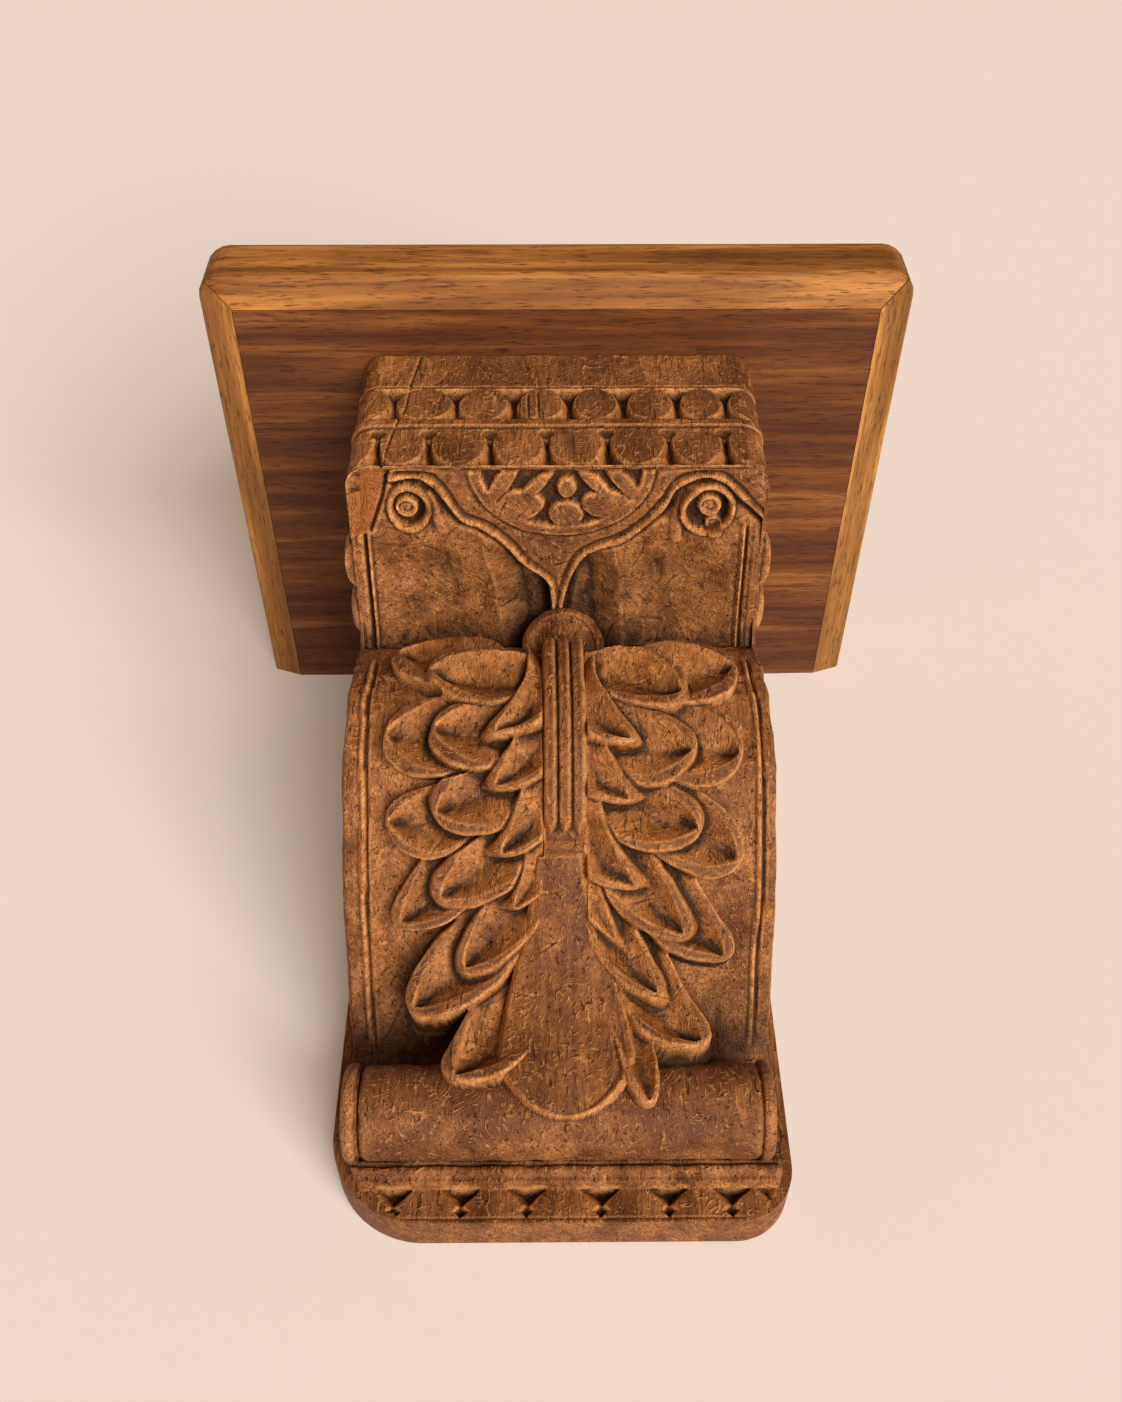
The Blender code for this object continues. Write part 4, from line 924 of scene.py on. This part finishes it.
collar_profile = smooth_line([
    (-9.0, 16.4), (-4.0, 17.2), (-0.6, 17.2), (1.4, 16.8), (4.2, 15.0), (5.0, 13.9), (4.0, 12.8),
    (3.8, 11.8), (5.2, 9.6), (7.0, 6.2), (8.0, 3.0), (8.3, 0.4)], 0.5)
turned_piece("leaf_collar", collar_profile, (2.0, -120.0, UNDERSIDE - 103.5), (0, -0.78, -0.62),
             (1, 0, 0), 0.95, 0.25, carved_wood)
roll_x = np.arange(-74.6, 75.5, 0.8)
roll_radius = 17.5 - 0.9 * ramp(-72.5, -74.6, roll_x) - 0.9 * ramp(73.2, 75.4, roll_x)
turned_piece("foot_roll", np.stack([roll_x, roll_radius], axis=-1), ROLL_CENTRE, (1, 0, 0),
             (0, 0, 1), 1.0, 0.9, carved_wood, 140)
for name, x0, x1 in (("roll_cap_left", -82.0, -75.4), ("roll_cap_right", 73.8, 80.3)):
    step = (x1 - x0) / 6.0
    cap = smooth_line([
        (x0, 2.0), (x0, 12.0), (x0 + step, 12.6), (x0 + 0.4 * step, 15.4), (x0 + 1.2 * step, 17.6),
        (x0 + 3 * step, 18.5), (x0 + 4.6 * step, 18.2), (x0 + 5.2 * step, 16.6), (x1, 16.2)], 0.6)
    if x0 > 0:
        cap = np.stack([x0 + x1 - cap[::-1, 0], cap[::-1, 1]], axis=-1)
    turned_piece(name, cap, ROLL_CENTRE, (1, 0, 0), (0, 0, 1), 1.0, 0.5, carved_wood, 96)

# Shelf
GRAIN_X, GRAIN_Y = (0.06, 1.0, 1.0), (1.0, 0.06, 1.0)
panel = plank_wood("walnut panel, planed and waxed", GRAIN_X, "#4c2610", "#794720", "#966230")
front_edge = plank_wood("walnut edge strip, front, waxed", GRAIN_X, "#6b3f18", "#a96d31", "#cd8e46")
side_edge = plank_wood("walnut edge strip, side, waxed", GRAIN_Y, "#744a1e", "#ac7436", "#d0964c")
for node, material in (("shelf_panel", panel), ("front_edge_strip", front_edge),
                       ("left_edge_strip", side_edge), ("right_edge_strip", side_edge)):
    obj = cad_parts[node]
    obj.data.materials.clear()
    obj.data.materials.append(material)


# Wall, light and camera

def wall_with_opening():
    """A pale wall just behind the bracket, clear from behind, and open where the bracket's own back
    covers it: each row runs across at one drop of the outline of foot, plate and shelf, and its
    middle quad, between the two edges of the outline, is left out."""
    material, tree, shader = new_material("matt wall paint, warm pale")
    for socket, value in (("Base Color", linear("#e4dad2")), ("Emission Color", linear("#ffe9d2")),
                          ("Emission Strength", 0.11), ("Roughness", 0.9)):
        shader.inputs[socket].default_value = value
    reach, gap, inset = 4000.0, 0.4, 0.5
    shelf = np.array([(-0.8, 135.5), (-5.6, 148.6), (-7.0, 149.5), (-28.4, 149.5), (-31.4, 147.6),
                      (-32.8, 144.6)])
    drop = np.append(np.linspace(HEIGHT - inset, HEIGHT - LEFT_FOOT_RADIUS, 25), inset)
    left = np.append(foot_half(drop + inset, LEFT_FOOT_RADIUS) - inset, shelf[:, 1])
    right = np.append(foot_half(drop + inset, RIGHT_FOOT_RADIUS) - inset, shelf[:, 1])
    drop = np.append(drop, shelf[:, 0])
    rows = [place(np.array([-reach, -a, b, reach]), -gap, s) for a, b, s in zip(left, right, drop)]
    wide = np.array([-reach, 0.0, 0.0, reach])
    below, above = ([place(wide, -gap, s) for s in ends]
                    for ends in ((reach, drop[0]), (drop[-1], -reach)))
    rows = below + rows + above
    quads = grid_quads(len(rows), 4).reshape(len(rows) - 1, 3, 4)
    solid = np.ones(quads.shape[:2], bool)
    solid[2:-2, 1] = False
    mesh = bpy.data.meshes.new("wall")
    mesh.from_pydata(np.concatenate(rows).tolist(), [], quads[solid].tolist())
    mesh.materials.append(material)
    wall = bpy.data.objects.new("wall", mesh)
    bpy.context.scene.collection.objects.link(wall)
    clear = add_node(tree, "ShaderNodeBsdfTransparent")
    from_behind = add_node(tree, "ShaderNodeNewGeometry", out="Backfacing")
    either = add_node(tree, "ShaderNodeMixShader", {0: from_behind, 1: shader.outputs[0], 2: clear})
    tree.links.new(either, tree.nodes["Material Output"].inputs["Surface"])


def soft_light(name, kind, stand, ray, energy, colour):
    """A light that stands at a point in metres and shines along its ray."""
    light = bpy.data.lights.new(name, kind)
    light.energy = energy
    light.color = linear(colour)[:3]
    lamp = bpy.data.objects.new(name, light)
    lamp.location = stand
    lamp.rotation_euler = Vector(ray).to_track_quat("-Z", "Y").to_euler()
    bpy.context.scene.collection.objects.link(lamp)
    return light


wall_with_opening()
key = soft_light("key", "SUN", (0, 0, 0), (-0.42, 0.55, 0.72), 4.1, "#fffaf6")
key.angle = math.radians(44)
behind = soft_light("behind", "AREA", (-0.8, 1.2, 0.5), (0.8, -1.2, -0.5), 45, "#fff1e2")
behind.size = 1.0
world = bpy.data.worlds.new("pale room")
world.use_nodes = True
backdrop = world.node_tree.nodes["Background"].inputs
backdrop["Color"].default_value, backdrop["Strength"].default_value = linear("#ffd2b0"), 0.25
bpy.context.scene.view_settings.view_transform = "Standard"
bpy.context.scene.world = world

# The camera stands in front of and below the bracket and looks up at it
CAMERA_STAND, LENS, SENSOR = (-0.00236, -0.52029, -0.3655), 35.435, 36.0
PITCH, YAW, ROLL = math.radians(43.73), math.radians(0.47), math.radians(-0.56)
ahead = Vector((math.sin(YAW) * math.cos(PITCH), math.cos(YAW) * math.cos(PITCH), math.sin(PITCH)))
level = Vector((math.cos(YAW), -math.sin(YAW), 0.0))
upward = level.cross(ahead)
right_way = level * math.cos(ROLL) + upward * math.sin(ROLL)
up_way = upward * math.cos(ROLL) - level * math.sin(ROLL)
camera = bpy.data.objects.new("camera", bpy.data.cameras.new("camera"))
camera.data.sensor_width = SENSOR
camera.data.lens = LENS
camera.data.clip_start = 0.01
turned = Matrix((right_way, up_way, -ahead)).transposed().to_4x4()
camera.matrix_world = Matrix.Translation(CAMERA_STAND) @ turned
bpy.context.scene.collection.objects.link(camera)
bpy.context.scene.camera = camera

bpy.context.view_layer.update()
